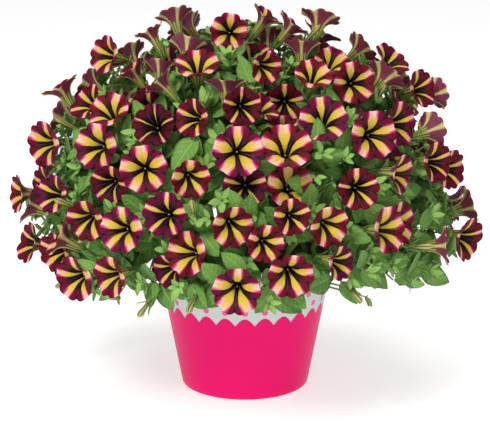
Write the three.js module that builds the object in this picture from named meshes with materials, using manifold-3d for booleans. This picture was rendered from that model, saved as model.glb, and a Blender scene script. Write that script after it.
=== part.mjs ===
// A potted petunia, in millimetres, +Z up. The origin is the centre of the pot's flat base, and -Y is the front.
//
// A tapered plastic pot holds a disc of potting soil. Leafy stems stand in plain holes in the soil, arch out over the
// rim and branch into leafy twigs. At the end of each stem sits a spray of trumpet-shaped blooms on thin stalks.
// Stems and sprays fan out from the middle of the mound, and each has its own cone of the mound, so none cross.

import * as THREE from "three";
import { mergeVertices } from "three/addons/utils/BufferGeometryUtils.js";
import Module from "manifold-3d";

const wasm = await Module();
wasm.setup();

// Driving dimensions

const POT_HEIGHT = 160;
const POT_BASE_RADIUS = 72.5;
const POT_RIM_RADIUS = 103;
const POT_WALL = 2.4;
const RIM_LIP = 3;
const RIM_DEPTH = 9;
const DRAIN_RADIUS = 4.5;
const DRAIN_RING = 50; // from the pot's middle to each drain hole
const SOIL_TOP = 148;
const STEM_DEPTH = 18; // of each stem in the soil
const POT_SIDES = 32;
const GAP = 0.35; // between solids that touch

const MOUND_CENTRE = new THREE.Vector3(0, 0, 170);
const MOUND_RADIUS = 250; // from the mound's centre to the middle of a bloom
const UNDERCUT = 0.95; // how fast the mound draws in below its centre
const FRINGE_BOTTOM = 138; // leaves hang no lower than this
const PARTING_HALF_WIDTH = 115; // and before the pot, over this width, they end higher and show its band
const PARTING_BOTTOM = 152;
const PARTING_BLOOMS = 180;

const TUBE_LENGTH = 36; // of a bloom, from its rim to its base
const THROAT_RADIUS = 6.5;
const TUBE_FOOT_RADIUS = 2.3;
const STALK_RADIUS = 1.3;
const SPRAY_COUNT = 28;
const STEM_END = 140; // from the mound's centre to the end of a leafy stem, where its spray sits
const HUB_START = 144; // and to the first bloom stalk of its spray
const HUB_STEP = 3; // and from one bloom stalk to the next, up the spray's hub
const INNER_RADIUS = 112; // no blade reaches nearer to the mound's centre
const STEM_RADIUS = 2.6;
const TWIG_RADIUS = 1.5;

// Blooms on the side that faces front, as they grow: degrees round the mound, degrees up, width in mm, the way the
// bloom faces, round and up, and how far out it stands, as a share of the mound's radius. One that would run into a
// bloom listed before it grows deeper in the mound.
const FRONT_BLOOMS = [
  [-2, 37, 55, 5, 15, 1.02],
  [0, 30, 48, 0, 12, 0.98],
  [13, 39, 57, 3, 48, 1.01],
  [14, 30, 50, 10, 28, 0.99],
  [-29, 31, 52, -3, 12, 1.02],
  [-49, 34, 52, -28, 12, 1.02],
  [-41, 26, 44, -22, 0, 0.98],
  [-15, 30, 43, 12, -2, 1],
  [-32, 43, 47, -15, 25, 1],
  [-19, 46, 42, -35, 15, 1],
  [-1, 50, 43, 8, 12, 1],
  [28, 45, 54, 2, 38, 1],
  [43, 38, 54, 20, 12, 1.02],
  [32, 26, 46, 10, 10, 1],
  [49, 27, 45, 62, 0, 1],
  [62, 39, 50, 50, 10, 0.99],
  [78, 33, 45, 130, 5, 1.01],
  [82, 21, 46, 45, 5, 1],
  [-85, 27, 53, -45, 5, 1.02],
  [-63, 19, 44, -40, 18, 1],
  [-82, 17, 44, -60, 10, 0.97],
  [-88, 12, 44, -68, 5, 1.06],
  [-45, 16, 46, -25, -5, 1],
  [-32, 16, 50, -22, 12, 1.02],
  [-21, 21, 49, -14, 15, 1],
  [-15, 12, 50, -35, 12, 0.99],
  [-55, 10, 47, -88, 30, 1],
  [-47, 1, 50, -35, -2, 1],
  [-35, 4, 46, -42, 0, 1],
  [-19, 6, 40, -40, -10, 1],
  [-3, 19, 46, 15, -5, 1],
  [5, 15, 41, 12, 5, 1.01],
  [12, 21, 40, 10, 10, 1.01],
  [22, 18, 45, 25, -2, 0.99],
  [-2, 4, 52, -3, -2, 1.03],
  [11, 7, 51, 10, -8, 1],
  [24, 9, 38, 45, 0, 1],
  [38, 15, 51, 48, 10, 1.02],
  [48, 15, 49, 60, 10, 0.97],
  [62, 6, 45, 85, 5, 1],
  [88, 9, 50, 95, 18, 1.04],
  [-18, 77, 42, -3, 15, 1.03],
  [-28, 64, 50, -5, 65, 1],
  [-50, 71, 44, 170, 50, 1],
  [-50, 63, 38, 170, 60, 0.97],
  [-9, 59, 48, 180, 72, 0.98],
  [12, 63, 38, 30, 0, 1],
  [33, 58, 43, 15, 55, 1.02],
  [22, 58, 44, 0, 5, 0.97],
  [50, 71, 44, 175, 65, 1],
  [70, 84, 40, 90, 55, 1.05],
  [68, 77, 40, 95, 50, 1.07],
  [75, 72, 46, 150, 60, 1.09],
  [82, 67, 44, 120, 45, 1.07],
  [120, 86, 40, 180, 50, 1.05],
  [9, 53, 36, 60, 45, 0.99],
  [17, 49, 40, 10, 65, 0.95],
  [52, 63, 40, 20, 50, 0.98],
  [50, 53, 47, 10, 15, 1.02],
  [60, 46, 44, 100, 35, 1],
  [78, 51, 48, 130, 40, 1.02],
  [88, 52, 46, 60, 50, 1.07],
  [92, 47, 46, 140, 20, 1.08],
  [85, 42, 44, 50, 20, 1.07],
  [95, 40, 40, 120, 10, 1.1],
  [70, 60, 40, 40, 60, 0.98],
  [-88, 41, 46, -100, 60, 1.1],
  [-85, 54, 46, -50, 18, 1.07],
  [-80, 43, 44, -55, 35, 1.04],
  [-76, 47, 40, -100, 45, 0.99],
  [-72, 66, 36, -110, 60, 1.09],
  [-80, 73, 44, -150, 60, 1.1],
  [-70, 77, 42, 180, 50, 1.02],
  [-68, 57, 40, -95, 55, 1],
  [-42, 59, 40, -100, 45, 1],
  [-46, 51, 46, -25, 15, 1],
  [-54, 44, 48, -30, 50, 1.01],
  [-66, 46, 44, -40, 45, 0.98],
  [-74, 51, 38, -60, 55, 0.98],
  [-80, 37, 42, -60, 20, 0.99],
];

// Buds that show, as they grow: degrees round, degrees up, length in mm, and the way the bud points, round and up.
const FRONT_BUDS = [
  [-75, 68, 34, -60, 50],
  [-20, 86, 30, -20, 70],
  [0, 86, 32, 10, 75],
  [50, 86, 28, 60, 60],
  [62, 67, 32, 60, 50],
  [70, 59, 30, 70, 45],
  [72, 49, 28, 60, 60],
  [-86, 35, 34, -80, 30],
  [-60, 17, 30, -60, 25],
  [-14, 24, 30, -10, 50],
  [-13, 1, 30, -15, -20],
  [-26, -2, 28, -30, -25],
  [26, 1, 28, 30, -20],
  [50, 9, 30, 60, 10],
  [-60, -3, 28, -70, -10],
];

const REST_COUNT = 100; // places tried for a bloom on the sides and the back, each kept if there is room
const REST_SEED = 11;
const LEAF_SEED = 40;
const LEAVES_PER_STEM = 8;

// Seeded draws, so that the plant grows the same each time

function draws(seed) {
  let state = seed >>> 0;
  return (low = 0, high = 1) => {
    state = (state + 0x6d2b79f5) >>> 0;
    let mixed = Math.imul(state ^ (state >>> 15), state | 1);
    mixed ^= mixed + Math.imul(mixed ^ (mixed >>> 7), mixed | 61);
    return low + ((high - low) * ((mixed ^ (mixed >>> 14)) >>> 0)) / 4294967296;
  };
}

// Directions and places in the mound

const vec = (x, y, z) => new THREE.Vector3(x, y, z);
const radians = (degrees) => (degrees * Math.PI) / 180;
const along = (point, direction, distance) => point.clone().addScaledVector(direction, distance);

function heading(round, up) {
  const flat = Math.cos(radians(up));
  return vec(Math.sin(radians(round)) * flat, -Math.cos(radians(round)) * flat, Math.sin(radians(up)));
}

function moundRadius(direction) {
  return MOUND_RADIUS * (1 - UNDERCUT * Math.max(0, -direction.z));
}

function placeInMound(direction, share) {
  return along(MOUND_CENTRE, direction, moundRadius(direction) * share);
}

// Two unit vectors square to an axis: the first level, the second as near to upright as it can be
function crossAxes(axis, roll = 0) {
  const level = vec(0, 0, 1).cross(axis);
  if (level.length() < 1e-3) level.set(1, 0, 0);
  level.normalize();
  const upright = axis.clone().cross(level);
  const turn = radians(roll);
  return [
    level.clone().multiplyScalar(Math.cos(turn)).addScaledVector(upright, Math.sin(turn)),
    upright.clone().multiplyScalar(Math.cos(turn)).addScaledVector(level, -Math.sin(turn)),
  ];
}

// The sprays: each stem has one direction of the mound to itself

const sprays = [];
for (let i = 0; i < SPRAY_COUNT; i += 1) {
  const rise = -0.06 + (1.04 * (i + 0.5)) / SPRAY_COUNT;
  const round = (i * 137.508 + 20) % 360;
  const axis = heading(round, (Math.asin(rise) * 180) / Math.PI);
  const footRadius = 89 * Math.sqrt((SPRAY_COUNT - i - 0.5) / SPRAY_COUNT);
  const outward = heading(round, 0);
  const foot = along(vec(0, 0, SOIL_TOP - STEM_DEPTH), outward, footRadius);
  const bend = Math.max(92, 118 - 60 * Math.max(0, axis.z)); // from there the stem runs straight out
  sprays.push({ axis, foot, outward, bend, blooms: [], leaves: [], buds: [] });
}

// The stem nearest to a direction, though one that carries many blooms already gives way to its neighbour
function nearestSpray(direction, evening = 0) {
  const nearness = (spray) => spray.axis.dot(direction) - evening * spray.blooms.length;
  let best = sprays[0];
  for (const spray of sprays) {
    if (nearness(spray) > nearness(best)) best = spray;
  }
  return best;
}

// Blooms: placing them so that no two run into each other

function makeBloom(place, facing, width, roll) {
  const spray = nearestSpray(along(place, facing, -TUBE_LENGTH).sub(MOUND_CENTRE).normalize(), 0.008);
  const foot = along(place, facing, -TUBE_LENGTH);
  const radius = width / 2;
  const [level, upright] = crossAxes(facing, roll);
  const samples = [];
  const ring = (share, count, depth) => {
    for (let i = 0; i < count; i += 1) {
      const turn = (2 * Math.PI * i) / count;
      const out = radius * share;
      const point = along(along(place, facing, depth), level, Math.cos(turn) * out);
      samples.push([point.addScaledVector(upright, Math.sin(turn) * out), 0]);
    }
  };
  ring(1, 84, 0);
  ring(0.55, 40, -4.5);
  for (let i = 0; i <= 12; i += 1) {
    const depth = 10 + ((TUBE_LENGTH - 10) * i) / 12;
    samples.push([along(place, facing, -depth), tubeRadius(-depth)]);
  }
  const stalk = [];
  const fork = along(MOUND_CENTRE, spray.axis, HUB_START + HUB_STEP * spray.blooms.length);
  const length = foot.distanceTo(fork);
  const steps = Math.ceil(length / 3);
  for (let i = 0; i <= steps; i += 1) stalk.push(foot.clone().lerp(fork, i / steps));
  return { place, facing, radius, roll, level, upright, foot, fork, spray, samples, stalk };
}

function tubeRadius(height) {
  const share = Math.min(1, Math.max(0, (height + TUBE_LENGTH) / (TUBE_LENGTH - 10)));
  return TUBE_FOOT_RADIUS + (THROAT_RADIUS + 1.5 - TUBE_FOOT_RADIUS) * share;
}

// Whether a ball touches a bloom's petals or tube
function ballTouchesBloom(point, size, bloom) {
  const offset = point.clone().sub(bloom.place);
  const height = offset.dot(bloom.facing);
  if (height > size + 1 || height < -TUBE_LENGTH - size) return false;
  const out = Math.sqrt(Math.max(0, offset.lengthSq() - height * height));
  if (out > bloom.radius + size) return false;
  if (height < -8 && out < tubeRadius(height) + size) return true;
  if (out < THROAT_RADIUS) return height < 0 && height > -20 - size;
  const share = Math.min(1, (out - THROAT_RADIUS) / (bloom.radius - THROAT_RADIUS));
  return Math.abs(height + 8 * (1 - share)) < 2.8 * (1 - share) + size;
}

function distanceToSegment(point, start, end) {
  const run = end.clone().sub(start);
  const share = Math.min(1, Math.max(0, point.clone().sub(start).dot(run) / run.lengthSq()));
  return along(start, run, share).distanceTo(point);
}

function ballTouchesStalk(point, size, bloom) {
  return distanceToSegment(point, bloom.foot, bloom.fork) < STALK_RADIUS + size;
}

function samplesMeet(one, other) {
  for (const [point, size] of one.samples) {
    if (ballTouchesBloom(point, size + 1.1, other)) return true;
    if (size > 0 && ballTouchesStalk(point, size + 0.8, other)) return true;
    if (size === 0 && ballTouchesStalk(point, 1.1, other)) return true;
  }
  for (const point of one.stalk) {
    if (ballTouchesBloom(point, STALK_RADIUS + 0.9, other)) return true;
    if (one.spray !== other.spray && ballTouchesStalk(point, STALK_RADIUS + 0.9, other)) return true;
  }
  return false;
}

function bloomsMeet(one, other) {
  return one.place.distanceTo(other.place) < 150 && (samplesMeet(one, other) || samplesMeet(other, one));
}

const blooms = [];

function growBloom(round, up, width, faceRound, faceUp, share, roll, depths) {
  const direction = heading(round, up);
  const facing = heading(faceRound, faceUp);
  for (const depth of depths) {
    const place = along(placeInMound(direction, share), direction, -depth);
    const bloom = makeBloom(place, facing, width, roll);
    if (blooms.some((other) => bloomsMeet(bloom, other))) continue;
    blooms.push(bloom);
    bloom.spray.blooms.push(bloom);
    return true;
  }
  return false;
}

const rollDraw = draws(REST_SEED);
const DEEPER = [0, 7, 14, 21, 28];
const NUDGES = [[0, 0], [3, 0], [-3, 0], [0, 3], [0, -3], [5, 3], [-5, 3], [5, -3], [-5, -3]];
for (const [round, up, width, faceRound, faceUp, share] of FRONT_BLOOMS) {
  const roll = rollDraw(-12, 12);
  NUDGES.some(([aside, higher]) => {
    const [newRound, newUp] = [round + aside / Math.cos(radians(Math.min(75, up))), up + higher];
    return growBloom(newRound, newUp, width, faceRound, faceUp, share, roll, DEEPER);
  });
}

// Whether a place is before the pot and too low to show its band
function hidesBand(point, lowest) {
  return point.y < 0 && Math.abs(point.x) < PARTING_HALF_WIDTH && point.z < lowest;
}

const restDraw = draws(REST_SEED + 1);
for (let i = 0; i < REST_COUNT; i += 1) {
  const rise = -0.02 + (1.015 * (i + 0.5)) / REST_COUNT;
  const round = i * 137.508 + restDraw(-6, 6);
  const up = (Math.asin(rise) * 180) / Math.PI + restDraw(-3, 3);
  const width = restDraw(42, 53);
  const faceRound = round + restDraw(-30, 30);
  const faceUp = up * 0.8 + restDraw(-15, 15);
  const share = restDraw(0.98, 1.03);
  const roll = restDraw(-12, 12);
  if (hidesBand(placeInMound(heading(round, up), share), PARTING_BLOOMS)) continue;
  growBloom(round, up, width, faceRound, faceUp, share, roll, [0, 10, 20]);
}

// Leafy stems: twigs, leaves and buds, each kept inside its own stem's cone of the mound and clear of every bloom

function insideCone(point, spray, margin) {
  const offset = point.clone().sub(MOUND_CENTRE);
  for (const other of sprays) {
    if (other === spray || other.axis.dot(spray.axis) < 0.3) continue;
    const across = spray.axis.clone().sub(other.axis);
    if (offset.dot(across) < margin * across.length()) return false;
  }
  return true;
}

function clearOfBlooms(point, size) {
  for (const bloom of blooms) {
    if (bloom.place.distanceTo(point) > 130) continue;
    if (ballTouchesBloom(point, size, bloom) || ballTouchesStalk(point, size, bloom)) return false;
  }
  return true;
}

function clearOfPot(point, size) {
  const out = Math.hypot(point.x, point.y);
  return point.z > POT_HEIGHT + 4 + size || out > POT_RIM_RADIUS + RIM_LIP + 6 + size;
}

function clearOfHub(point, size, spray) {
  const offset = point.clone().sub(MOUND_CENTRE);
  const height = offset.dot(spray.axis);
  if (height < STEM_END - 5) return true;
  const hubEnd = HUB_START + HUB_STEP * spray.blooms.length;
  return along(offset, spray.axis, -height).length() > STEM_RADIUS + size + 0.8 || height > hubEnd + size;
}

function isFree(point, size, spray) {
  return (
    insideCone(point, spray, size + 0.4) &&
    clearOfPot(point, size) &&
    clearOfHub(point, size, spray) &&
    clearOfBlooms(point, size + 0.7)
  );
}

function isRunFree(start, end, size, spray, skip = 0) {
  const steps = Math.ceil(start.distanceTo(end) / 2.5);
  for (let i = 0; i <= steps; i += 1) {
    const point = start.clone().lerp(end, i / steps);
    if (point.distanceTo(start) < skip) continue;
    if (!isFree(point, size, spray)) return false;
  }
  return true;
}

function leafPoint(leaf, share, across) {
  const spread = across * leaf.width * Math.sin(Math.PI * Math.min(1, share * 1.04) ** 0.8) * 0.5;
  const lift = Math.abs(across) * leaf.width * 0.09 - share * share * leaf.droop;
  const point = along(leaf.base, leaf.axis, share * leaf.length);
  return along(along(point, leaf.side, spread), leaf.face, lift);
}

function makeLeaf(base, axis, face, length, width, droop) {
  return { base, axis, face, side: face.clone().cross(axis), length, width, droop };
}

// Whether a point of one leaf lies on another leaf's blade
function pointOnLeaf(point, leaf, margin) {
  const offset = point.clone().sub(leaf.base);
  const share = offset.dot(leaf.axis) / leaf.length;
  if (share < 0.04 || share > 1.03) return false;
  const middle = leafPoint(leaf, share, 0);
  const edge = leafPoint(leaf, share, 1);
  const reach = edge.clone().sub(middle).dot(leaf.side);
  const across = offset.dot(leaf.side) / Math.max(1, reach);
  if (Math.abs(across) > 1 + margin / Math.max(1, reach)) return false;
  const surface = leafPoint(leaf, share, across);
  return Math.abs(point.clone().sub(surface).dot(leaf.face)) < margin;
}

function isLeafFree(leaf, spray) {
  for (let i = 2; i <= 15; i += 1) {
    for (let j = -4; j <= 4; j += 1) {
      const point = leafPoint(leaf, i / 15, j / 4);
      if (point.distanceTo(MOUND_CENTRE) < INNER_RADIUS) return false;
      if (point.z < FRINGE_BOTTOM || hidesBand(point, PARTING_BOTTOM)) return false;
      if (!isFree(point, 0.9, spray)) return false;
      for (const other of spray.leaves) {
        if (pointOnLeaf(point, other, 2)) return false;
      }
      for (const other of spray.leaves) {
        if (distanceToSegment(point, other.start, other.base) < TWIG_RADIUS + 1) return false;
      }
      if (i > 2 && distanceToSegment(point, leaf.start, leaf.base) < TWIG_RADIUS + 0.6) return false;
      for (const bud of spray.buds) {
        if (distanceToSegment(point, bud.start, bud.foot) < 2.2) return false;
        if (distanceToSegment(point, bud.foot, bud.tip) < 3.5) return false;
      }
    }
  }
  const tip = leafPoint(leaf, 1, 0).sub(MOUND_CENTRE);
  return tip.length() < moundRadius(tip.clone().normalize()) * 1.04;
}

// A leaf on its own stalk: the stalk leaves the stem and the blade opens at its end
function growLeaf(spray, index, draw) {
  const [level, upright] = crossAxes(spray.axis);
  for (let attempt = 0; attempt < 60; attempt += 1) {
    const turn = radians(137.5 * index + draw(-45, 45));
    const lean = Math.tan(radians(draw(5, 27)));
    const direction = along(along(spray.axis, level, Math.cos(turn) * lean), upright, Math.sin(turn) * lean);
    direction.normalize();
    const base = placeInMound(direction, draw(0.72, 0.98));
    const start = along(MOUND_CENTRE, spray.axis, draw(spray.bend + 4, STEM_END - 6));
    const spin = draw(0, 2 * Math.PI);
    const outward = draw(0.05, 0.6);
    const length = draw(38, 52) * (1 - 0.007 * attempt);
    const width = length * draw(0.6, 0.72);
    const droop = draw(0, 5);
    if (!isRunFree(start, base, TWIG_RADIUS, spray, 6)) continue;
    if (spray.leaves.some((leaf) => runMeetsLeaf(start, base, leaf))) continue;
    const [across, over] = crossAxes(direction);
    const axis = across.clone().multiplyScalar(Math.cos(spin)).addScaledVector(over, Math.sin(spin));
    axis.addScaledVector(direction, outward).add(vec(0, 0, -0.15)).normalize();
    const face = along(direction, axis, -direction.dot(axis)).normalize();
    const leaf = makeLeaf(base, axis, face, length, width, droop);
    leaf.start = start;
    if (!isLeafFree(leaf, spray)) continue;
    spray.leaves.push(leaf);
    return;
  }
}

function runMeetsLeaf(start, end, leaf) {
  for (let i = 1; i <= 30; i += 1) {
    const point = start.clone().lerp(end, i / 30);
    if (pointOnLeaf(point, leaf, TWIG_RADIUS + 1)) return true;
    if (i > 4 && distanceToSegment(point, leaf.start, leaf.base) < 2 * TWIG_RADIUS + 0.4) return true;
  }
  return false;
}

function growBud(spray, bud, draw) {
  const [round, up, length, pointRound, pointUp] = bud;
  for (let attempt = 0; attempt < 80; attempt += 1) {
    const aside = (draw(-0.15, 0.15) * attempt) / Math.max(0.3, Math.cos(radians(up)));
    const direction = heading(round + aside, up + draw(-0.15, 0.15) * attempt);
    const foot = placeInMound(direction, draw(0.88, 0.97));
    const pointing = heading(pointRound, pointUp);
    const tip = along(foot, pointing, length);
    const start = along(MOUND_CENTRE, spray.axis, draw(spray.bend + 4, STEM_END - 6));
    if (!isRunFree(start, foot, 1.2, spray, 6) || !isRunFree(foot, tip, 3, spray)) continue;
    spray.buds.push({ start, foot, tip, pointing, length });
    return;
  }
}

const leafDraw = draws(LEAF_SEED);
for (const bud of FRONT_BUDS) growBud(nearestSpray(heading(bud[0], bud[1])), bud, leafDraw);
for (const spray of sprays) {
  for (let index = 0; index < LEAVES_PER_STEM; index += 1) growLeaf(spray, index, leafDraw);
}

function stemPath(spray) {
  const top = along(spray.foot, vec(0, 0, 1), STEM_DEPTH + 6);
  const rise = along(spray.foot, vec(0, 0, 1), STEM_DEPTH + 22 * spray.outward.dot(spray.axis));
  rise.z = Math.max(rise.z, top.z + 4);
  const end = along(MOUND_CENTRE, spray.axis, STEM_END);
  const turn = along(MOUND_CENTRE, spray.axis, spray.bend);
  return [spray.foot, top, rise, turn, end];
}

// Solids

function solidOf(geometry) {
  const bare = geometry.index ? geometry : mergeVertices(geometry);
  bare.deleteAttribute("normal");
  bare.deleteAttribute("uv");
  const merged = mergeVertices(bare, 1e-4);
  const corners = Array.from(merged.index.array);
  const whole = [];
  for (let i = 0; i < corners.length; i += 3) {
    const [a, b, c] = corners.slice(i, i + 3);
    if (a !== b && b !== c && c !== a) whole.push(a, b, c);
  }
  const mesh = new wasm.Mesh({
    numProp: 3,
    vertProperties: Float32Array.from(merged.attributes.position.array),
    triVerts: Uint32Array.from(whole),
  });
  return new wasm.Manifold(mesh);
}

// A closed skin over points, from lists of three corners
function skin(points, faces) {
  const geometry = new THREE.BufferGeometry().setFromPoints(points);
  geometry.setIndex(faces.flat());
  return solidOf(geometry);
}

function ringAround(centre, first, second, radius, sides, turn = 0) {
  const points = [];
  for (let i = 0; i < sides; i += 1) {
    const angle = turn + (2 * Math.PI * i) / sides;
    points.push(along(along(centre, first, Math.cos(angle) * radius), second, Math.sin(angle) * radius));
  }
  return points;
}

// A ring of points carried to another place, and turned to lie square to another axis there
function carryRing(ring, from, fromAxis, to, toAxis, radius) {
  const turn = new THREE.Quaternion().setFromUnitVectors(fromAxis, toAxis);
  return ring.map((point) => point.clone().sub(from).applyQuaternion(turn).setLength(radius).add(to));
}

// Rings of points joined into a closed skin, each end closed by a fan
function skinRings(rings) {
  const sides = rings[0].length;
  const points = rings.flat();
  const faces = [];
  for (let k = 0; k + 1 < rings.length; k += 1) {
    for (let i = 0; i < sides; i += 1) {
      const a = k * sides + i;
      const b = k * sides + ((i + 1) % sides);
      faces.push([a, b, b + sides], [a, b + sides, a + sides]);
    }
  }
  const last = (rings.length - 1) * sides;
  for (let i = 1; i + 1 < sides; i += 1) faces.push([0, i + 1, i], [last, last + i, last + i + 1]);
  return skin(points, faces);
}

// A tube along a path of points, with its own radius at each point
function tubeAlong(path, sizes, sides) {
  let axis = path[1].clone().sub(path[0]).normalize();
  let [first] = crossAxes(axis);
  const rings = path.map((point, k) => {
    const before = path[Math.max(0, k - 1)];
    const after = path[Math.min(path.length - 1, k + 1)];
    axis = after.clone().sub(before).normalize();
    first = along(first, axis, -first.dot(axis)).normalize();
    return ringAround(point, first, axis.clone().cross(first), sizes[k], sides);
  });
  return skinRings(rings);
}

// The stalk's three-sided skin runs on into the blade
function leafSolid(leaf) {
  const at = (share, across, lift) => along(leafPoint(leaf, share, across), leaf.face, lift);
  const run = leaf.base.clone().sub(leaf.start).normalize();
  const neck = [at(0, 0, 1.2), along(at(0, 0, -0.8), leaf.side, 1.1), along(at(0, 0, -0.8), leaf.side, -1.1)];
  const foot = carryRing(neck, leaf.base, leaf.axis, leaf.start, run, TWIG_RADIUS);
  const rim = [at(0.3, 1, 0), at(0.72, 1, 0), at(1, 0, 0), at(0.72, -1, 0), at(0.3, -1, 0)];
  const points = [...foot, ...neck, ...rim, at(0.46, 0, 0.7), at(0.46, 0, -0.8)];
  const [top, under, first, left, right, upper, lower] = [3, 6, 6, 4, 5, 11, 12];
  const faces = [[0, 2, 1], [left, first, upper], [top, left, upper], [right, top, upper], [first + 4, right, upper]];
  for (let i = 0; i < 4; i += 1) faces.push([under + i, under + i + 1, upper], [under + i + 1, under + i, lower]);
  faces.push([first, left, lower], [left, right, lower], [right, first + 4, lower]);
  for (let i = 0; i < 3; i += 1) {
    const next = (i + 1) % 3;
    faces.push([i, next, next + 3], [i, next + 3, i + 3]);
  }
  return skin(points, faces.map(([a, b, c]) => [a, c, b]));
}

function budSolid(bud) {
  const [first, second] = crossAxes(bud.pointing);
  const waist = ringAround(along(bud.foot, bud.pointing, bud.length * 0.62), first, second, 3, 4);
  const points = [along(bud.foot, bud.pointing, -3), ...waist, bud.tip];
  const faces = [];
  for (let i = 0; i < 4; i += 1) faces.push([0, 1 + ((i + 1) % 4), 1 + i], [5, 1 + i, 1 + ((i + 1) % 4)]);
  return skin(points, faces).add(tubeAlong([bud.start, bud.foot], [1.4, 1.2], 3));
}

function bloomSolid(bloom) {
  const { place, facing, radius, level, upright } = bloom;
  const at = (angle, out, height) => {
    const turn = radians(angle);
    const point = along(along(place, facing, height), level, Math.cos(turn) * out);
    return point.addScaledVector(upright, Math.sin(turn) * out);
  };
  const points = [];
  for (let petal = 0; petal < 5; petal += 1) {
    const middle = 90 + 72 * petal;
    points.push(at(middle, radius, 0), at(middle + 36, radius * 0.9, -0.8));
  }
  for (let petal = 0; petal < 5; petal += 1) points.push(at(90 + 72 * petal, THROAT_RADIUS, -6));
  for (let petal = 0; petal < 5; petal += 1) points.push(at(90 + 72 * petal, THROAT_RADIUS + 1, -10.5));
  points.push(at(0, 0, -20));
  for (let i = 0; i < 3; i += 1) points.push(at(90 + 120 * i, TUBE_FOOT_RADIUS * 0.8, -TUBE_LENGTH));
  const run = bloom.foot.clone().sub(bloom.fork).normalize();
  points.push(...carryRing(points.slice(21), bloom.foot, facing, bloom.fork, run, STALK_RADIUS));
  const faces = [];
  const [inner, outer, apex, base] = [10, 15, 20, 21];
  for (let petal = 0; petal < 5; petal += 1) {
    const next = (petal + 1) % 5;
    const [lobe, notch] = [2 * petal, 2 * petal + 1];
    faces.push([inner + petal, lobe, notch]);
    faces.push([inner + petal, notch, inner + next], [inner + next, notch, 2 * next]);
    faces.push([apex, inner + petal, inner + next]);
    faces.push([outer + petal, notch, lobe]);
    faces.push([outer + petal, outer + next, notch], [outer + next, 2 * next, notch]);
  }
  const tube = [[0, 0, 1], [1, 1, 2], [2, 2, 3], [3, 3, 4], [4, 4, 0]];
  const foot = [0, 0, 1, 2, 2];
  for (const [petal, , next] of tube) {
    faces.push([outer + petal, base + foot[petal], outer + next]);
    if (foot[petal] !== foot[next]) faces.push([outer + next, base + foot[petal], base + foot[next]]);
  }
  for (let i = 0; i < 3; i += 1) {
    const [a, b] = [base + i, base + ((i + 1) % 3)];
    faces.push([b, a, a + 3], [b, a + 3, b + 3]);
  }
  faces.push([base + 3, base + 5, base + 4]);
  return skin(points, faces);
}

function meshFrom(solid, name, colour, roughness) {
  const { vertProperties, triVerts, numProp } = solid.asOriginal().simplify(0.15).getMesh();
  const geometry = new THREE.BufferGeometry();
  const places = new Float32Array((vertProperties.length / numProp) * 3);
  for (let i = 0; i < places.length / 3; i += 1) {
    for (let k = 0; k < 3; k += 1) places[3 * i + k] = vertProperties[numProp * i + k];
  }
  geometry.setAttribute("position", new THREE.BufferAttribute(places, 3));
  geometry.setIndex(new THREE.BufferAttribute(new Uint32Array(triVerts), 1));
  const material = new THREE.MeshStandardMaterial({ color: colour, roughness, metalness: 0 });
  const mesh = new THREE.Mesh(geometry, material);
  mesh.name = name;
  return mesh;
}

// The pot: a tapered wall with a lip round its rim and four drain holes in its floor

// A solid turned about the upright axis, from its outline of radius and height, which starts and ends on the axis
function turned(outline) {
  const profile = outline.map(([radius, height]) => new THREE.Vector2(radius, height));
  return solidOf(new THREE.LatheGeometry(profile, POT_SIDES).rotateX(Math.PI / 2));
}

// A round bar that stands on a point, to cut a hole with
function bar(foot, radius, length, sides) {
  const geometry = new THREE.CylinderGeometry(radius, radius, length, sides).rotateX(Math.PI / 2);
  return solidOf(geometry.translate(foot.x, foot.y, foot.z + length / 2));
}

const wallRadius = (height) => POT_BASE_RADIUS + ((POT_RIM_RADIUS - POT_BASE_RADIUS) * height) / POT_HEIGHT;
const rimTop = POT_HEIGHT;
const lipHeight = rimTop - RIM_DEPTH;
const potBlock = turned([
  [0, 0],
  [POT_BASE_RADIUS - 2, 0],
  [wallRadius(2.5), 2.5],
  [wallRadius(lipHeight), lipHeight],
  [wallRadius(lipHeight) + RIM_LIP, lipHeight + 1.2],
  [POT_RIM_RADIUS + RIM_LIP, rimTop],
  [0, rimTop],
]);
const hollow = turned([
  [0, 3],
  [wallRadius(3) - POT_WALL, 3],
  [wallRadius(rimTop + 5) - POT_WALL, rimTop + 5],
  [0, rimTop + 5],
]);
const cuts = [hollow];
for (let i = 0; i < 4; i += 1) {
  const spot = along(vec(0, 0, -5), heading(45 + 90 * i, 0), DRAIN_RING);
  cuts.push(bar(spot, DRAIN_RADIUS, 15, 10));
}
const pot = potBlock.subtract(wasm.Manifold.union(cuts));

// The soil, with a plain hole for each stem

const soilGap = POT_WALL + GAP * 1.1;
const soilBlock = turned([
  [0, 3 + GAP],
  [wallRadius(3 + GAP) - soilGap, 3 + GAP],
  [wallRadius(SOIL_TOP) - soilGap, SOIL_TOP],
  [0, SOIL_TOP],
]);
const holes = sprays.map((spray) => {
  return bar(along(spray.foot, vec(0, 0, 1), -GAP), STEM_RADIUS + GAP * 3, STEM_DEPTH + 12, 5);
});
const soil = soilBlock.subtract(wasm.Manifold.union(holes));

// The whole plant in its pot

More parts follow.
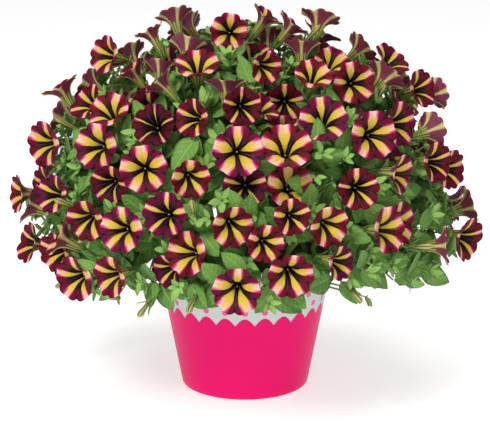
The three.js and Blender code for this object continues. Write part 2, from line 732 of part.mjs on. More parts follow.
const group = new THREE.Group();
group.name = "potted_petunia";
group.add(meshFrom(pot, "pot", "#e0106c", 0.45));
group.add(meshFrom(soil, "soil", "#3a2a20", 0.95));
sprays.forEach((spray, index) => {
  const number = String(index + 1).padStart(2, "0");
  const path = stemPath(spray);
  const green = [tubeAlong(path, [2.6, 2.6, 2.6, 2.4, 2.2], 5)];
  for (const leaf of spray.leaves) green.push(leafSolid(leaf));
  for (const bud of spray.buds) green.push(budSolid(bud));
  group.add(meshFrom(wasm.Manifold.union(green), `leafy_stem_${number}`, "#5c8a3a", 0.6));
  const hubEnd = HUB_START + HUB_STEP * spray.blooms.length - 1;
  const hub = [along(MOUND_CENTRE, spray.axis, STEM_END + GAP), along(MOUND_CENTRE, spray.axis, hubEnd)];
  const petals = [tubeAlong(hub, [2.2, 2.2], 4)];
  for (const bloom of spray.blooms) petals.push(bloomSolid(bloom));
  group.add(meshFrom(wasm.Manifold.union(petals), `bloom_spray_${number}`, "#a8195a", 0.5));
});

export default group;
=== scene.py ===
"""A potted petunia: a round mound of striped velvet blooms and soft leaves over a printed plastic pot."""

import math
from types import SimpleNamespace

import bpy
import numpy as np
from mathutils import Matrix, Vector, noise


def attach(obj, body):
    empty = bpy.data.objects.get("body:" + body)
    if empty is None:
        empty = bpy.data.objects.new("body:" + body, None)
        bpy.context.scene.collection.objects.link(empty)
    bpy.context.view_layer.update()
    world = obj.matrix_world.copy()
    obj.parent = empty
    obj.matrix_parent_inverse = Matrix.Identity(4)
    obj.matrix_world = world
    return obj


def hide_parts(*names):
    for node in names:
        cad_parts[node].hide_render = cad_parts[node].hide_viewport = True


# Sizes of the pot and the plant, in millimetres

MM = 0.001
WORD = 0xFFFFFFFF
UP = np.array([0.0, 0.0, 1.0])
POT_HEIGHT = 160
POT_BASE_RADIUS = 72.5
POT_RIM_RADIUS = 103
POT_WALL = 2.4
RIM_LIP = 3
RIM_DEPTH = 9
DRAIN_RADIUS = 4.5
DRAIN_RING = 50
SOIL_TOP = 148
STEM_DEPTH = 18
FOOT_REACH = 89
MOUND_CENTRE = np.array([0.0, 0.0, 170.0])
MOUND_RADIUS = 250
UNDERCUT = 0.95
# How far the leaves and stalks stay clear of the pot's rim, above it and beside it
RIM_ABOVE = 4
RIM_BESIDE = 6
INNER_RADIUS = 112
# How low leaves hang, and how far they part before the pot to show its band
FRINGE_BOTTOM = 138
PARTING_HALF_WIDTH = 115
PARTING_BOTTOM = 152
PARTING_BLOOMS = 180
TUBE_LENGTH = 36
THROAT_RADIUS = 6.5
TUBE_FOOT_RADIUS = 2.3
TUBE_TOP = 10
TUBE_SAMPLES = 13
LIMB_DEPTH = 8
LIMB_SPREAD = 2.8
THROAT_DEPTH = 20
# Rings of points that stand for a bloom's petals: share of its radius, number of points, and height
BLOOM_RINGS = ((1, 84, 0), (0.55, 40, -4.5))
STALK_RADIUS = 1.3
STALK_SAMPLES = 60
# How far the plant's parts stay clear of each other
PETAL_GAP = 1.1
TUBE_GAP = 0.8
STALK_GAP = 0.9
WALL_GAP = 0.4
HUB_GAP = 0.8
HUB_ROOM = 5
LEAF_GAP = 0.7
# How near two blooms, or a bloom and a leaf, are before they are tested against each other
BLOOM_REACH = 150
LEAF_REACH = 130
SPRAY_COUNT = 28
# Main stems: the lowest one's rise and the span up to the highest, as sines, where the first one points, in
# degrees, how alike the directions of neighbours are, as a cosine, and how far out each one bends
LOWEST_STEM = -0.06
STEM_SPAN = 1.04
FIRST_STEM = 20
NEIGHBOUR = 0.3
BEND_LEAST = 92
BEND_MOST = 118
BEND_FALL = 60
STEM_END = 140
HUB_START = 144
HUB_STEP = 3
HUB_TIP_RADIUS = 1.4
STEM_RADIUS = 2.6
TWIG_RADIUS = 1.5
GOLDEN_TURN = 137.508
LEAF_TURN = 137.5
REST_COUNT = 100
REST_SEED = 11
LEAF_SEED = 40
REST_WIDTHS = (42, 53)
LEAVES_PER_STEM = 8
# Leaves: the range of their lengths, of their widths as a share of their length, and of how far they droop
LEAF_LENGTHS = (38, 52)
LEAF_BREADTHS = (0.6, 0.72)
LEAF_DROOPS = (0, 5)
LEAF_TRIES = 60
BUD_TRIES = 80
FRONT_DEPTHS = (0, 7, 14, 21, 28)
REST_DEPTHS = (0, 10, 20)
NUDGES = ((0, 0), (3, 0), (-3, 0), (0, 3), (0, -3), (5, 3), (-5, 3), (5, -3), (-5, -3))

# Blooms at the front, one on each line, in degrees round from the front and up from the horizon: where it
# is, its width in millimetres, which way it faces, and how far out it sits in the mound
FRONT_BLOOMS = [
    [-2, 37, 55, 5, 15, 1.02],
    [0, 30, 48, 0, 12, 0.98],
    [13, 39, 57, 3, 48, 1.01],
    [14, 30, 50, 10, 28, 0.99],
    [-29, 31, 52, -3, 12, 1.02],
    [-49, 34, 52, -28, 12, 1.02],
    [-41, 26, 44, -22, 0, 0.98],
    [-15, 30, 43, 12, -2, 1],
    [-32, 43, 47, -15, 25, 1],
    [-19, 46, 42, -35, 15, 1],
    [-1, 50, 43, 8, 12, 1],
    [28, 45, 54, 2, 38, 1],
    [43, 38, 54, 20, 12, 1.02],
    [32, 26, 46, 10, 10, 1],
    [49, 27, 45, 62, 0, 1],
    [62, 39, 50, 50, 10, 0.99],
    [78, 33, 45, 130, 5, 1.01],
    [82, 21, 46, 45, 5, 1],
    [-85, 27, 53, -45, 5, 1.02],
    [-63, 19, 44, -40, 18, 1],
    [-82, 17, 44, -60, 10, 0.97],
    [-88, 12, 44, -68, 5, 1.06],
    [-45, 16, 46, -25, -5, 1],
    [-32, 16, 50, -22, 12, 1.02],
    [-21, 21, 49, -14, 15, 1],
    [-15, 12, 50, -35, 12, 0.99],
    [-55, 10, 47, -88, 30, 1],
    [-47, 1, 50, -35, -2, 1],
    [-35, 4, 46, -42, 0, 1],
    [-19, 6, 40, -40, -10, 1],
    [-3, 19, 46, 15, -5, 1],
    [5, 15, 41, 12, 5, 1.01],
    [12, 21, 40, 10, 10, 1.01],
    [22, 18, 45, 25, -2, 0.99],
    [-2, 4, 52, -3, -2, 1.03],
    [11, 7, 51, 10, -8, 1],
    [24, 9, 38, 45, 0, 1],
    [38, 15, 51, 48, 10, 1.02],
    [48, 15, 49, 60, 10, 0.97],
    [62, 6, 45, 85, 5, 1],
    [88, 9, 50, 95, 18, 1.04],
    [-18, 77, 42, -3, 15, 1.03],
    [-28, 64, 50, -5, 65, 1],
    [-50, 71, 44, 170, 50, 1],
    [-50, 63, 38, 170, 60, 0.97],
    [-9, 59, 48, 180, 72, 0.98],
    [12, 63, 38, 30, 0, 1],
    [33, 58, 43, 15, 55, 1.02],
    [22, 58, 44, 0, 5, 0.97],
    [50, 71, 44, 175, 65, 1],
    [70, 84, 40, 90, 55, 1.05],
    [68, 77, 40, 95, 50, 1.07],
    [75, 72, 46, 150, 60, 1.09],
    [82, 67, 44, 120, 45, 1.07],
    [120, 86, 40, 180, 50, 1.05],
    [9, 53, 36, 60, 45, 0.99],
    [17, 49, 40, 10, 65, 0.95],
    [52, 63, 40, 20, 50, 0.98],
    [50, 53, 47, 10, 15, 1.02],
    [60, 46, 44, 100, 35, 1],
    [78, 51, 48, 130, 40, 1.02],
    [88, 52, 46, 60, 50, 1.07],
    [92, 47, 46, 140, 20, 1.08],
    [85, 42, 44, 50, 20, 1.07],
    [95, 40, 40, 120, 10, 1.1],
    [70, 60, 40, 40, 60, 0.98],
    [-88, 41, 46, -100, 60, 1.1],
    [-85, 54, 46, -50, 18, 1.07],
    [-80, 43, 44, -55, 35, 1.04],
    [-76, 47, 40, -100, 45, 0.99],
    [-72, 66, 36, -110, 60, 1.09],
    [-80, 73, 44, -150, 60, 1.1],
    [-70, 77, 42, 180, 50, 1.02],
    [-68, 57, 40, -95, 55, 1],
    [-42, 59, 40, -100, 45, 1],
    [-46, 51, 46, -25, 15, 1],
    [-54, 44, 48, -30, 50, 1.01],
    [-66, 46, 44, -40, 45, 0.98],
    [-74, 51, 38, -60, 55, 0.98],
    [-80, 37, 42, -60, 20, 0.99],
]
FRONT_BUDS = [
    [-75, 68, 34, -60, 50],
    [-20, 86, 30, -20, 70],
    [0, 86, 32, 10, 75],
    [50, 86, 28, 60, 60],
    [62, 67, 32, 60, 50],
    [70, 59, 30, 70, 45],
    [72, 49, 28, 60, 60],
    [-86, 35, 34, -80, 30],
    [-60, 17, 30, -60, 25],
    [-14, 24, 30, -10, 50],
    [-13, 1, 30, -15, -20],
    [-26, -2, 28, -30, -25],
    [26, 1, 28, 30, -20],
    [50, 9, 30, 60, 10],
    [-60, -3, 28, -70, -10],
]

# Sizes of what only the looks have, in millimetres

PETALS = 5
PETAL_TURN = 2 * math.pi / PETALS
BLOOM_RADIUS = 25
BLOOM_KINDS = 6
BLOOM_SEED = 101
BLOOM_STEPS = 10
# Radius, height and part of the pattern: 0 to 1 on the face, 1 to 2 behind, 2 to 3 down the tube
BLOOM_PROFILE = [
    (2.6, -27, 0.05),
    (4.2, -20, 0.13),
    (5.6, -14.5, 0.21),
    (7.4, -10, 0.3),
    (10, -6.6, 0.4),
    (13.5, -3.9, 0.54),
    (17.5, -2.0, 0.7),
    (21.5, -0.7, 0.86),
    (24, 0, 0.96),
    (25, -0.2, 1.0),
    (24.6, -0.8, 1.05),
    (19.5, -2.3, 1.3),
    (13.8, -5.2, 1.58),
    (9.6, -9.2, 1.85),
    (7.6, -13.5, 2.1),
    (5.2, -24, 2.55),
    (2.5, -34.5, 2.95),
]
# The two coloured lobes of a petal, as shares of a petal's width and of a bloom's radius: how far each is
# from the petal's middle line and from the throat, and how far it reaches both ways
LOBE_ASIDE = 0.31
LOBE_OUT = 0.97
LOBE_WIDTH = 0.145
LOBE_LENGTH = 0.52
STIGMA_DEPTH = 17
# How each front bloom is coloured, in the order they grow: half the width of its yellow rays as a share of
# its radius, how magenta its lobes are, and how light it is
FRONT_PATTERNS = [
    (0.20, 0.8, 0.7), (0.09, 0.5, 0.2), (0.22, 0.1, 0.7), (0.22, 0.1, 0.5), (0.23, 0.5, 0.9),
    (0.20, 0.7, 0.7), (0.09, 0.4, 0.2), (0.17, 0.1, 0.3), (0.045, 0.2, 0.0), (0.11, 0.1, 0.4),
    (0.08, 0.1, 0.2), (0.16, 0.8, 0.6), (0.20, 0.4, 0.8), (0.10, 0.1, 0.3), (0.20, 0.1, 0.3),
    (0.13, 0.5, 0.4), (0.12, 0.4, 0.5), (0.10, 0.1, 0.4), (0.18, 0.3, 0.7), (0.13, 0.9, 0.5),
    (0.12, 0.6, 0.6), (0.17, 0.1, 0.7), (0.16, 0.1, 0.3), (0.20, 0.8, 0.7), (0.12, 0.8, 0.4),
    (0.20, 0.1, 0.8), (0.20, 0.1, 0.5), (0.17, 0.5, 1.0), (0.16, 0.3, 0.6), (0.12, 0.8, 0.4),
    (0.20, 0.1, 0.3), (0.16, 0.1, 0.5), (0.13, 0.1, 0.3), (0.19, 0.1, 0.4), (0.21, 0.7, 1.0),
    (0.17, 0.2, 0.6), (0.16, 0.9, 0.3), (0.22, 0.2, 0.6), (0.20, 0.1, 0.6), (0.15, 0.3, 0.6),
    (0.14, 0.2, 0.5), (0.18, 0.1, 0.6), (0.19, 0.2, 0.5), (0.14, 0.5, 0.4), (0.12, 0.4, 0.4),
    (0.12, 0.3, 0.3), (0.13, 0.1, 0.4), (0.20, 0.1, 0.6), (0.10, 0.1, 0.3), (0.10, 0.2, 0.3),
    (0.15, 0.3, 0.4), (0.15, 0.3, 0.4), (0.15, 0.1, 0.6), (0.12, 0.1, 0.5), (0.12, 0.1, 0.5),
    (0.14, 0.3, 0.5), (0.12, 0.2, 0.4), (0.20, 0.3, 0.4), (0.16, 0.1, 0.5), (0.12, 0.4, 0.4),
    (0.18, 0.2, 0.4), (0.10, 0.2, 0.4), (0.12, 0.3, 0.4), (0.10, 0.1, 0.4), (0.12, 0.2, 0.5),
    (0.12, 0.2, 0.5), (0.15, 0.1, 0.7), (0.17, 0.2, 0.7), (0.14, 0.3, 0.5), (0.16, 0.0, 0.9),
    (0.12, 0.1, 0.5), (0.12, 0.2, 0.4), (0.14, 0.3, 0.4), (0.14, 0.3, 0.4), (0.12, 0.3, 0.4),
    (0.12, 0.3, 0.4), (0.20, 0.1, 0.8), (0.16, 0.1, 0.5), (0.15, 0.5, 0.6),
]
LEAF_KINDS = 4
CURL_STEP = 0.045
SIDE_VEINS = 6.5
LEAF_KIND_SEED = 211
TWIG_SEED = 307
TWIGS_PER_STEM = 15
LEAVES_PER_TWIG = 7
TWIG_FEWEST = 4
TWIG_TRIES = 14
BLADE_TRIES = 12
SMALL_LEAF_PIECES = 3
TIP_LEAVES = 5
# Small leaves: their length at a shoot's foot and how much shorter they are at its end, the range of their
# sizes about that, and their widths as a share of their length. The leaves at its tip have their own ranges
SMALL_LENGTH = 50
SMALL_TAPER = 15
SMALL_SIZES = (0.8, 1.15)
SMALL_BREADTHS = (0.55, 0.7)
TIP_LENGTHS = (11, 19)
TIP_BREADTHS = (0.45, 0.6)
TIP_DROOPS = (-1, 2)
# Radii of the stalks, from where they start to where they end
LEAF_STALK = (1.5, 1.2, 0.9)
TWIG_STALK = (1.3, 1.1, 0.7)
BUD_STALK = (1.2, 1.0)
SMALL_STALK = (0.7, 0.6)
CRUMB_COUNT = 420
CRUMB_REACH = 96
CRUMB_SEED = 401
MARK_SEED = 503
POT_SIDES = 112
SOIL_SIDES = 72
# The pot's band, with its scalloped edge and its rows of dots
BAND_BOTTOM = 94
BAND_RADIUS = 94
DOT_MIDDLE = 123
DOT_STEP = 13
DOT_RADIUS = 3.6
SCALLOP_DEPTH = 9
SCALLOPS = 26

# Colours


def tone(red, green, blue):
    """A screen colour, 0 to 255, as the linear colour that materials use."""
    linear = [(part / 255 / 12.92) if part <= 10 else ((part / 255 + 0.055) / 1.055) ** 2.4
              for part in (red, green, blue)]
    return (*linear, 1.0)


RAY_THROAT = tone(120, 92, 30)
RAY_YELLOW = tone(200, 172, 56)
RAY_PALE = tone(234, 182, 188)
RAY_EDGE = tone(204, 34, 106)
LOBE_CRIMSON = tone(104, 0, 20)
LOBE_MAGENTA = tone(88, 0, 50)
SECTOR_DARK = tone(20, 2, 10)
# Painted highlight: the grey satin sheen mixed into the colour down the middle of each dark sector
SECTOR_PAINTED_SHEEN = tone(150, 120, 140)
THROAT_DARK = tone(16, 6, 12)
BACK_DUSK = tone(116, 46, 62)
BACK_MAUVE = tone(126, 66, 96)
BACK_VEIN = tone(48, 10, 30)
BACK_RAY = tone(204, 194, 124)
TUBE_GREEN = tone(122, 138, 58)
TUBE_YELLOW = tone(176, 172, 92)
TUBE_STRIPE = tone(58, 20, 44)
LEAF_DEEP = tone(72, 122, 42)
LEAF_MID = tone(120, 172, 68)
LEAF_YOUNG = tone(150, 194, 98)
LEAF_VEIN = tone(166, 200, 110)
LEAF_UNDER = tone(138, 176, 100)
STEM_GREEN = tone(104, 140, 58)
STEM_PALE = tone(146, 168, 92)
POT_PINK = tone(236, 16, 108)
POT_SILVER = tone(204, 210, 208)
DOT_ROSE = tone(240, 96, 150)
SOIL_DARK = tone(38, 26, 18)
SOIL_BROWN = tone(84, 60, 42)
SOIL_FLECK = tone(170, 158, 140)
STIGMA_GREEN = tone(118, 130, 92)
STIGMA_PALE = tone(164, 170, 142)

# The setting, in metres and watts

PICTURE_WIDTH = 490
CAMERA_FOCUS = 2233
SENSOR_WIDTH = 36
CAMERA_PLACE = (0, -2.45, 0.89)
CAMERA_TARGET = (0, 0, 0.2)
FLOOR_SIZE = 12
FLOOR_WHITE = (0.58, 0.58, 0.58, 1.0)
ROOM_WHITE = (1.0, 1.0, 1.0, 1.0)
ROOM_LIGHT = 0.36
FLOOR_GLOW = 0.62
LIGHT_TARGET = (0, 0, 0.22)
LIGHTS = [
    ("key light", (-1.1, -2.0, 2.3), 1.0, 62, (1.0, 0.98, 0.95)),
    ("fill light", (1.8, -1.6, 1.3), 1.6, 8, (0.95, 0.98, 1.0)),
    ("front light", (-0.1, -2.7, 0.5), 0.7, 11, (1.0, 1.0, 1.0)),
    ("top light", (0.2, 0.6, 2.4), 1.4, 22, (1.0, 1.0, 1.0)),
]

# Growth

# The plant grows here by the same rules and the same draws as its solids do, in millimetres.


def draws(seed):
    """Seeded draws, so that the plant grows the same each time."""
    state = seed & WORD

    def draw(low=0.0, high=1.0):
        """The next number, from low to high."""
        nonlocal state
        state = (state + 0x6D2B79F5) & WORD
        mixed = ((state ^ (state >> 15)) * (state | 1)) & WORD
        mixed ^= (mixed + ((mixed ^ (mixed >> 7)) * (mixed | 61))) & WORD
        return low + (high - low) * (mixed ^ (mixed >> 14)) / (WORD + 1)

    return draw


def length_of(vector):
    """A vector's length."""
    return math.sqrt(float(vector @ vector))


def unit(vector):
    """A vector's direction, with a length of one."""
    return vector / length_of(vector)


def heading(around, up):
    """The direction that is so many degrees round from the front and up from the horizon."""
    flat = math.cos(math.radians(up))
    turn = math.radians(around)
    return np.array([math.sin(turn) * flat, -math.cos(turn) * flat, math.sin(math.radians(up))])


def mound_radius(direction):
    """How far the mound reaches in a direction: less far down than up."""
    return MOUND_RADIUS * (1 - UNDERCUT * max(0.0, -direction[2]))


def place_in_mound(direction, share):
    """The place at a share of the way from the mound's centre to its surface."""
    return MOUND_CENTRE + direction * (mound_radius(direction) * share)


def cross_axes(axis, roll=0.0):
    """Two unit vectors square to an axis: the first level, the second as near to upright as it can be."""
    level = np.cross(UP, axis)
    if length_of(level) < 1e-3:
        level = np.array([1.0, 0.0, 0.0])
    level = unit(level)
    upright = np.cross(axis, level)
    turn = math.radians(roll)
    return (
        level * math.cos(turn) + upright * math.sin(turn),
        upright * math.cos(turn) - level * math.sin(turn),
    )


def plan_sprays():
    """The main stems, spread evenly over the mound, each with the planes between it and its neighbours."""
    sprays = []
    for i in range(SPRAY_COUNT):
        rise = LOWEST_STEM + (STEM_SPAN * (i + 0.5)) / SPRAY_COUNT
        around = (i * GOLDEN_TURN + FIRST_STEM) % 360
        axis = heading(around, math.degrees(math.asin(rise)))
        foot_radius = FOOT_REACH * math.sqrt((SPRAY_COUNT - i - 0.5) / SPRAY_COUNT)
        outward = heading(around, 0)
        foot = np.array([0, 0, SOIL_TOP - STEM_DEPTH]) + outward * foot_radius
        bend = max(BEND_LEAST, BEND_MOST - BEND_FALL * max(0, axis[2]))
        sprays.append(SimpleNamespace(
            index=i, axis=axis, foot=foot, outward=outward, bend=bend, blooms=[], leaves=[], buds=[],
        ))
    for spray in sprays:
        across = [spray.axis - other.axis for other in sprays
                  if other is not spray and float(other.axis @ spray.axis) >= NEIGHBOUR]
        spray.walls = np.array([unit(step) for step in across])
    return sprays


def nearest_spray(direction, evening=0.0):
    """The stem nearest a direction. Evening favours stems that carry few blooms."""
    return max(SPRAYS, key=lambda spray: float(spray.axis @ direction) - evening * len(spray.blooms))


def tube_radius(height):
    """A bloom's tube at a height on its axis, from its foot up to its throat."""
    share = np.clip((height + TUBE_LENGTH) / (TUBE_LENGTH - TUBE_TOP), 0, 1)
    return TUBE_FOOT_RADIUS + (THROAT_RADIUS + 1.5 - TUBE_FOOT_RADIUS) * share


def distance_to_run(points, start, end):
    """How far points are from a straight run. The arrays may hold one run for each row of points."""
    run = end - start
    share = np.sum((points - start) * run, axis=-1) / np.sum(run * run, axis=-1)
    share = np.clip(share, 0, 1)[..., None]
    return np.linalg.norm(points - (start + run * share), axis=-1)


def touches_bloom(points, sizes, place, facing, radius):
    """Whether balls touch a bloom's petals or tube."""
    offset = points - place
    height = np.sum(offset * facing, axis=-1)
    out = np.sqrt(np.maximum(0, np.sum(offset * offset, axis=-1) - height * height))
    near = (height <= sizes + 1) & (height >= -TUBE_LENGTH - sizes) & (out <= radius + sizes)
    tube = (height < -LIMB_DEPTH) & (out < tube_radius(height) + sizes)
    throat = (height < 0) & (height > -THROAT_DEPTH - sizes)
    share = np.minimum(1, (out - THROAT_RADIUS) / (radius - THROAT_RADIUS))
    limb = np.abs(height + LIMB_DEPTH * (1 - share)) < LIMB_SPREAD * (1 - share) + sizes
    return near & (tube | np.where(out < THROAT_RADIUS, throat, limb))


class Bloom:
    """A bloom's place, its facing, and sample points over its petals, tube and stalk."""

    def __init__(self, place, facing, width, roll):
        self.place = place
        self.facing = facing
        self.radius = width / 2
        self.roll = roll
        self.foot = place - facing * TUBE_LENGTH
        self.spray = nearest_spray(unit(self.foot - MOUND_CENTRE), 0.008)
        self.fork = MOUND_CENTRE + self.spray.axis * (HUB_START + HUB_STEP * len(self.spray.blooms))
        self.level, self.upright = cross_axes(facing, roll)
        rings = []
        for share, count, depth in BLOOM_RINGS:
            turn = 2 * math.pi * np.arange(count) / count
            out = self.radius * share
            middle = place + facing * depth
            level = np.outer(np.cos(turn) * out, self.level)
            upright = np.outer(np.sin(turn) * out, self.upright)
            rings.append(middle + level + upright)
        depths = TUBE_TOP + (TUBE_LENGTH - TUBE_TOP) * np.arange(TUBE_SAMPLES) / (TUBE_SAMPLES - 1)
        self.points = np.vstack([*rings, place - np.outer(depths, facing)])
        self.sizes = np.concatenate([np.zeros(sum(map(len, rings))), tube_radius(-depths)])
        steps = math.ceil(length_of(self.fork - self.foot) / 3)
        shares = np.arange(steps + 1) / steps
        shares = np.concatenate([shares, np.ones(max(0, STALK_SAMPLES - len(shares)))])
        self.stalk = self.foot + np.outer(shares, self.fork - self.foot)


def fits_among(bloom, others):
    """Whether a bloom touches none of the others, tried with its points on them and theirs on it."""
    others = [other for other in others if length_of(other.place - bloom.place) < BLOOM_REACH]
    if not others:
        return True

    def column(name):
        """One of their measures, as a column."""
        return np.array([getattr(other, name) for other in others])[:, None]

    place, facing, foot, fork = column("place"), column("facing"), column("foot"), column("fork")
    radius = column("radius")
    foreign = np.array([other.spray is not bloom.spray for other in others])[:, None]
    stalk_reach = bloom.sizes + np.where(bloom.sizes > 0, TUBE_GAP, PETAL_GAP) + STALK_RADIUS
    if np.any(touches_bloom(bloom.points, bloom.sizes + PETAL_GAP, place, facing, radius)):
        return False
    if np.any(distance_to_run(bloom.points, foot, fork) < stalk_reach):
        return False
    if np.any(touches_bloom(bloom.stalk, STALK_RADIUS + STALK_GAP, place, facing, radius)):
        return False
    if np.any(foreign & (distance_to_run(bloom.stalk, foot, fork) < 2 * STALK_RADIUS + STALK_GAP)):
        return False
    points = np.concatenate([other.points for other in others])
    sizes = np.concatenate([other.sizes for other in others])
    stalks = np.concatenate([other.stalk for other in others])
    stalk_foreign = np.repeat(foreign[:, 0], [len(other.stalk) for other in others])
    reach = sizes + np.where(sizes > 0, TUBE_GAP, PETAL_GAP) + STALK_RADIUS
    if np.any(touches_bloom(points, sizes + PETAL_GAP, bloom.place, bloom.facing, bloom.radius)):
        return False
    if np.any(distance_to_run(points, bloom.foot, bloom.fork) < reach):
        return False
    if np.any(touches_bloom(stalks, STALK_RADIUS + STALK_GAP, bloom.place, bloom.facing, bloom.radius)):
        return False
    near = distance_to_run(stalks, bloom.foot, bloom.fork) < 2 * STALK_RADIUS + STALK_GAP
    return not np.any(stalk_foreign & near)


def grow_bloom(blooms, around, up, width, face_around, face_up, share, roll, depths):
    """Tries a bloom at each depth in the mound, and keeps the first that fits."""
    direction = heading(around, up)
    facing = heading(face_around, face_up)
    for depth in depths:
        place = place_in_mound(direction, share) - direction * depth
        bloom = Bloom(place, facing, width, roll)
        if not fits_among(bloom, blooms):
            continue
        blooms.append(bloom)
        bloom.spray.blooms.append(bloom)
        return True
    return False


def hides_band(points, lowest):
    """Which points are before the pot and too low to show its band."""
    points = np.atleast_2d(points)
    return (points[:, 1] < 0) & (np.abs(points[:, 0]) < PARTING_HALF_WIDTH) & (points[:, 2] < lowest)


def grow_blooms():
    """The front blooms one by one, then the rest in a spiral from the bottom of the mound to its top."""
    blooms = []
    roll_draw = draws(REST_SEED)
    for around, up, width, face_around, face_up, share in FRONT_BLOOMS:
        roll = roll_draw(-12, 12)
        for aside, higher in NUDGES:
            moved = around + aside / math.cos(math.radians(min(75, up)))
            if grow_bloom(blooms, moved, up + higher, width, face_around, face_up, share, roll, FRONT_DEPTHS):
                break
    rest_draw = draws(REST_SEED + 1)
    for i in range(REST_COUNT):
        rise = -0.02 + (1.015 * (i + 0.5)) / REST_COUNT
        around = i * GOLDEN_TURN + rest_draw(-6, 6)
        up = math.degrees(math.asin(rise)) + rest_draw(-3, 3)
        width = rest_draw(*REST_WIDTHS)
        face_around = around + rest_draw(-30, 30)
        face_up = up * 0.8 + rest_draw(-15, 15)
        share = rest_draw(0.98, 1.03)
        roll = rest_draw(-12, 12)
        if hides_band(place_in_mound(heading(around, up), share), PARTING_BLOOMS).any():
            continue
        grow_bloom(blooms, around, up, width, face_around, face_up, share, roll, REST_DEPTHS)
    return blooms


class Thicket:
    """All the blooms as arrays, to test many points against them at once."""

    def __init__(self, blooms):
        self.place = np.array([bloom.place for bloom in blooms])
        self.facing = np.array([bloom.facing for bloom in blooms])
        self.radius = np.array([bloom.radius for bloom in blooms])
        self.foot = np.array([bloom.foot for bloom in blooms])
        self.fork = np.array([bloom.fork for bloom in blooms])

    def is_clear(self, points, size):
        """Whether balls round points touch no bloom and no bloom stalk."""
        middle = points.mean(axis=0)
        spread = np.linalg.norm(points - middle, axis=1).max()
        near = np.linalg.norm(self.place - middle, axis=1) < LEAF_REACH + spread
        if not near.any():
            return True
        place, facing = self.place[near][:, None], self.facing[near][:, None]
        close = np.linalg.norm(points - place, axis=2) <= LEAF_REACH
        if np.any(close & touches_bloom(points, size, place, facing, self.radius[near][:, None])):
            return False
        gaps = distance_to_run(points, self.foot[near][:, None], self.fork[near][:, None])
        return not np.any(close & (gaps < STALK_RADIUS + size))


def is_free(points, size, spray):
    """Whether points lie in a stem's own cone of the mound, clear of pot, hub and every bloom."""
    offset = points - MOUND_CENTRE
    if np.any(offset @ spray.walls.T < size + WALL_GAP):
        return False
    out = np.hypot(points[:, 0], points[:, 1])
    above = points[:, 2] > POT_HEIGHT + RIM_ABOVE + size
    if not np.all(above | (out > POT_RIM_RADIUS + RIM_LIP + RIM_BESIDE + size)):
        return False
    height = offset @ spray.axis
    aside = np.linalg.norm(offset - np.outer(height, spray.axis), axis=1)
    hub_end = HUB_START + HUB_STEP * len(spray.blooms)
    beyond = (height < STEM_END - HUB_ROOM) | (height > hub_end + size)
    if not np.all(beyond | (aside > STEM_RADIUS + size + HUB_GAP)):
        return False
    return THICKET.is_clear(points, size + LEAF_GAP)


def is_run_free(start, end, size, spray, skip=0.0):
    """Whether a straight stalk is free, apart from its first stretch."""
    steps = math.ceil(length_of(end - start) / 2.5)
    points = start + np.outer(np.arange(steps + 1) / steps, end - start)
    points = points[np.linalg.norm(points - start, axis=1) >= skip]
    return is_free(points, size, spray)


class Leaf:
    """A leaf's stalk and blade: where they start, which way they point, and their sizes."""

    def __init__(self, start, base, axis, face, length, width, droop):
        self.start = start
        self.base = base
        self.axis = axis
        self.face = face
        self.side = np.cross(face, axis)
        self.length = length
        self.width = width
        self.droop = droop
        self.young = False

    def at(self, share, across):
        """Places on the blade, by their share of its length and how far across it they are."""
        share = np.asarray(share, float)[..., None]
        across = np.asarray(across, float)[..., None]
        swell = np.sin(math.pi * np.minimum(1, share * 1.04) ** 0.8)
        spread = across * self.width * swell * 0.5
        lift = np.abs(across) * self.width * 0.09 - share * share * self.droop
        return self.base + self.axis * (share * self.length) + self.side * spread + self.face * lift


def spots_on_blade(shares, across):
    """Two flat lists that pair every share of a blade's length with every place across it."""
    grids = np.meshgrid(np.array(shares), np.array(across), indexing="ij")
    return grids[0].ravel(), grids[1].ravel()


SHARES, ACROSS = spots_on_blade(np.arange(2, 16) / 15, np.arange(-4, 5) / 4)
FEW_SHARES, FEW_ACROSS = spots_on_blade([0.15, 0.35, 0.55, 0.75, 0.97], [-0.9, 0, 0.9])


def on_leaf(points, leaf, margin):
    """Which points lie on a leaf's blade."""
    offset = points - leaf.base
    share = (offset @ leaf.axis) / leaf.length
    within = (share >= 0.04) & (share <= 1.03)
    inner = np.clip(share, 0, 1.03)
    edge, middle = leaf.at(inner, np.ones(len(points))), leaf.at(inner, np.zeros(len(points)))
    reach = np.maximum(1, (edge - middle) @ leaf.side)
    across = (offset @ leaf.side) / reach
    within &= np.abs(across) <= 1 + margin / reach
    surface = leaf.at(inner, across)
    return within & (np.abs((points - surface) @ leaf.face) < margin)


def is_leaf_free(leaf, spray):
    """Whether a large leaf fits in the mound, beside the leaves and buds of its own stem."""
    points = leaf.at(SHARES, ACROSS)
    if np.any(np.linalg.norm(points - MOUND_CENTRE, axis=1) < INNER_RADIUS):
        return False
    if np.any(points[:, 2] < FRINGE_BOTTOM) or hides_band(points, PARTING_BOTTOM).any():
        return False
    if not is_free(points, 0.9, spray):
        return False
    for other in spray.leaves:
        if np.any(on_leaf(points, other, 2)):
            return False
        if np.any(distance_to_run(points, other.start, other.base) < TWIG_RADIUS + 1):
            return False
    outer = points[SHARES > 2.5 / 15]
    if np.any(distance_to_run(outer, leaf.start, leaf.base) < TWIG_RADIUS + 0.6):
        return False
    for bud in spray.buds:
        if np.any(distance_to_run(points, bud.start, bud.foot) < 2.2):
            return False
        if np.any(distance_to_run(points, bud.foot, bud.tip) < 3.5):
            return False
    tip = leaf.at(1, 0) - MOUND_CENTRE
    return length_of(tip) < mound_radius(unit(tip)) * 1.04


def run_meets_leaf(start, end, leaf):
    """Whether a straight stalk would pass through a leaf or its stalk."""
    points = start + np.outer(np.arange(1, 31) / 30, end - start)
    if np.any(on_leaf(points, leaf, TWIG_RADIUS + 1)):
        return True
    return bool(np.any(distance_to_run(points[4:], leaf.start, leaf.base) < 2 * TWIG_RADIUS + 0.4))


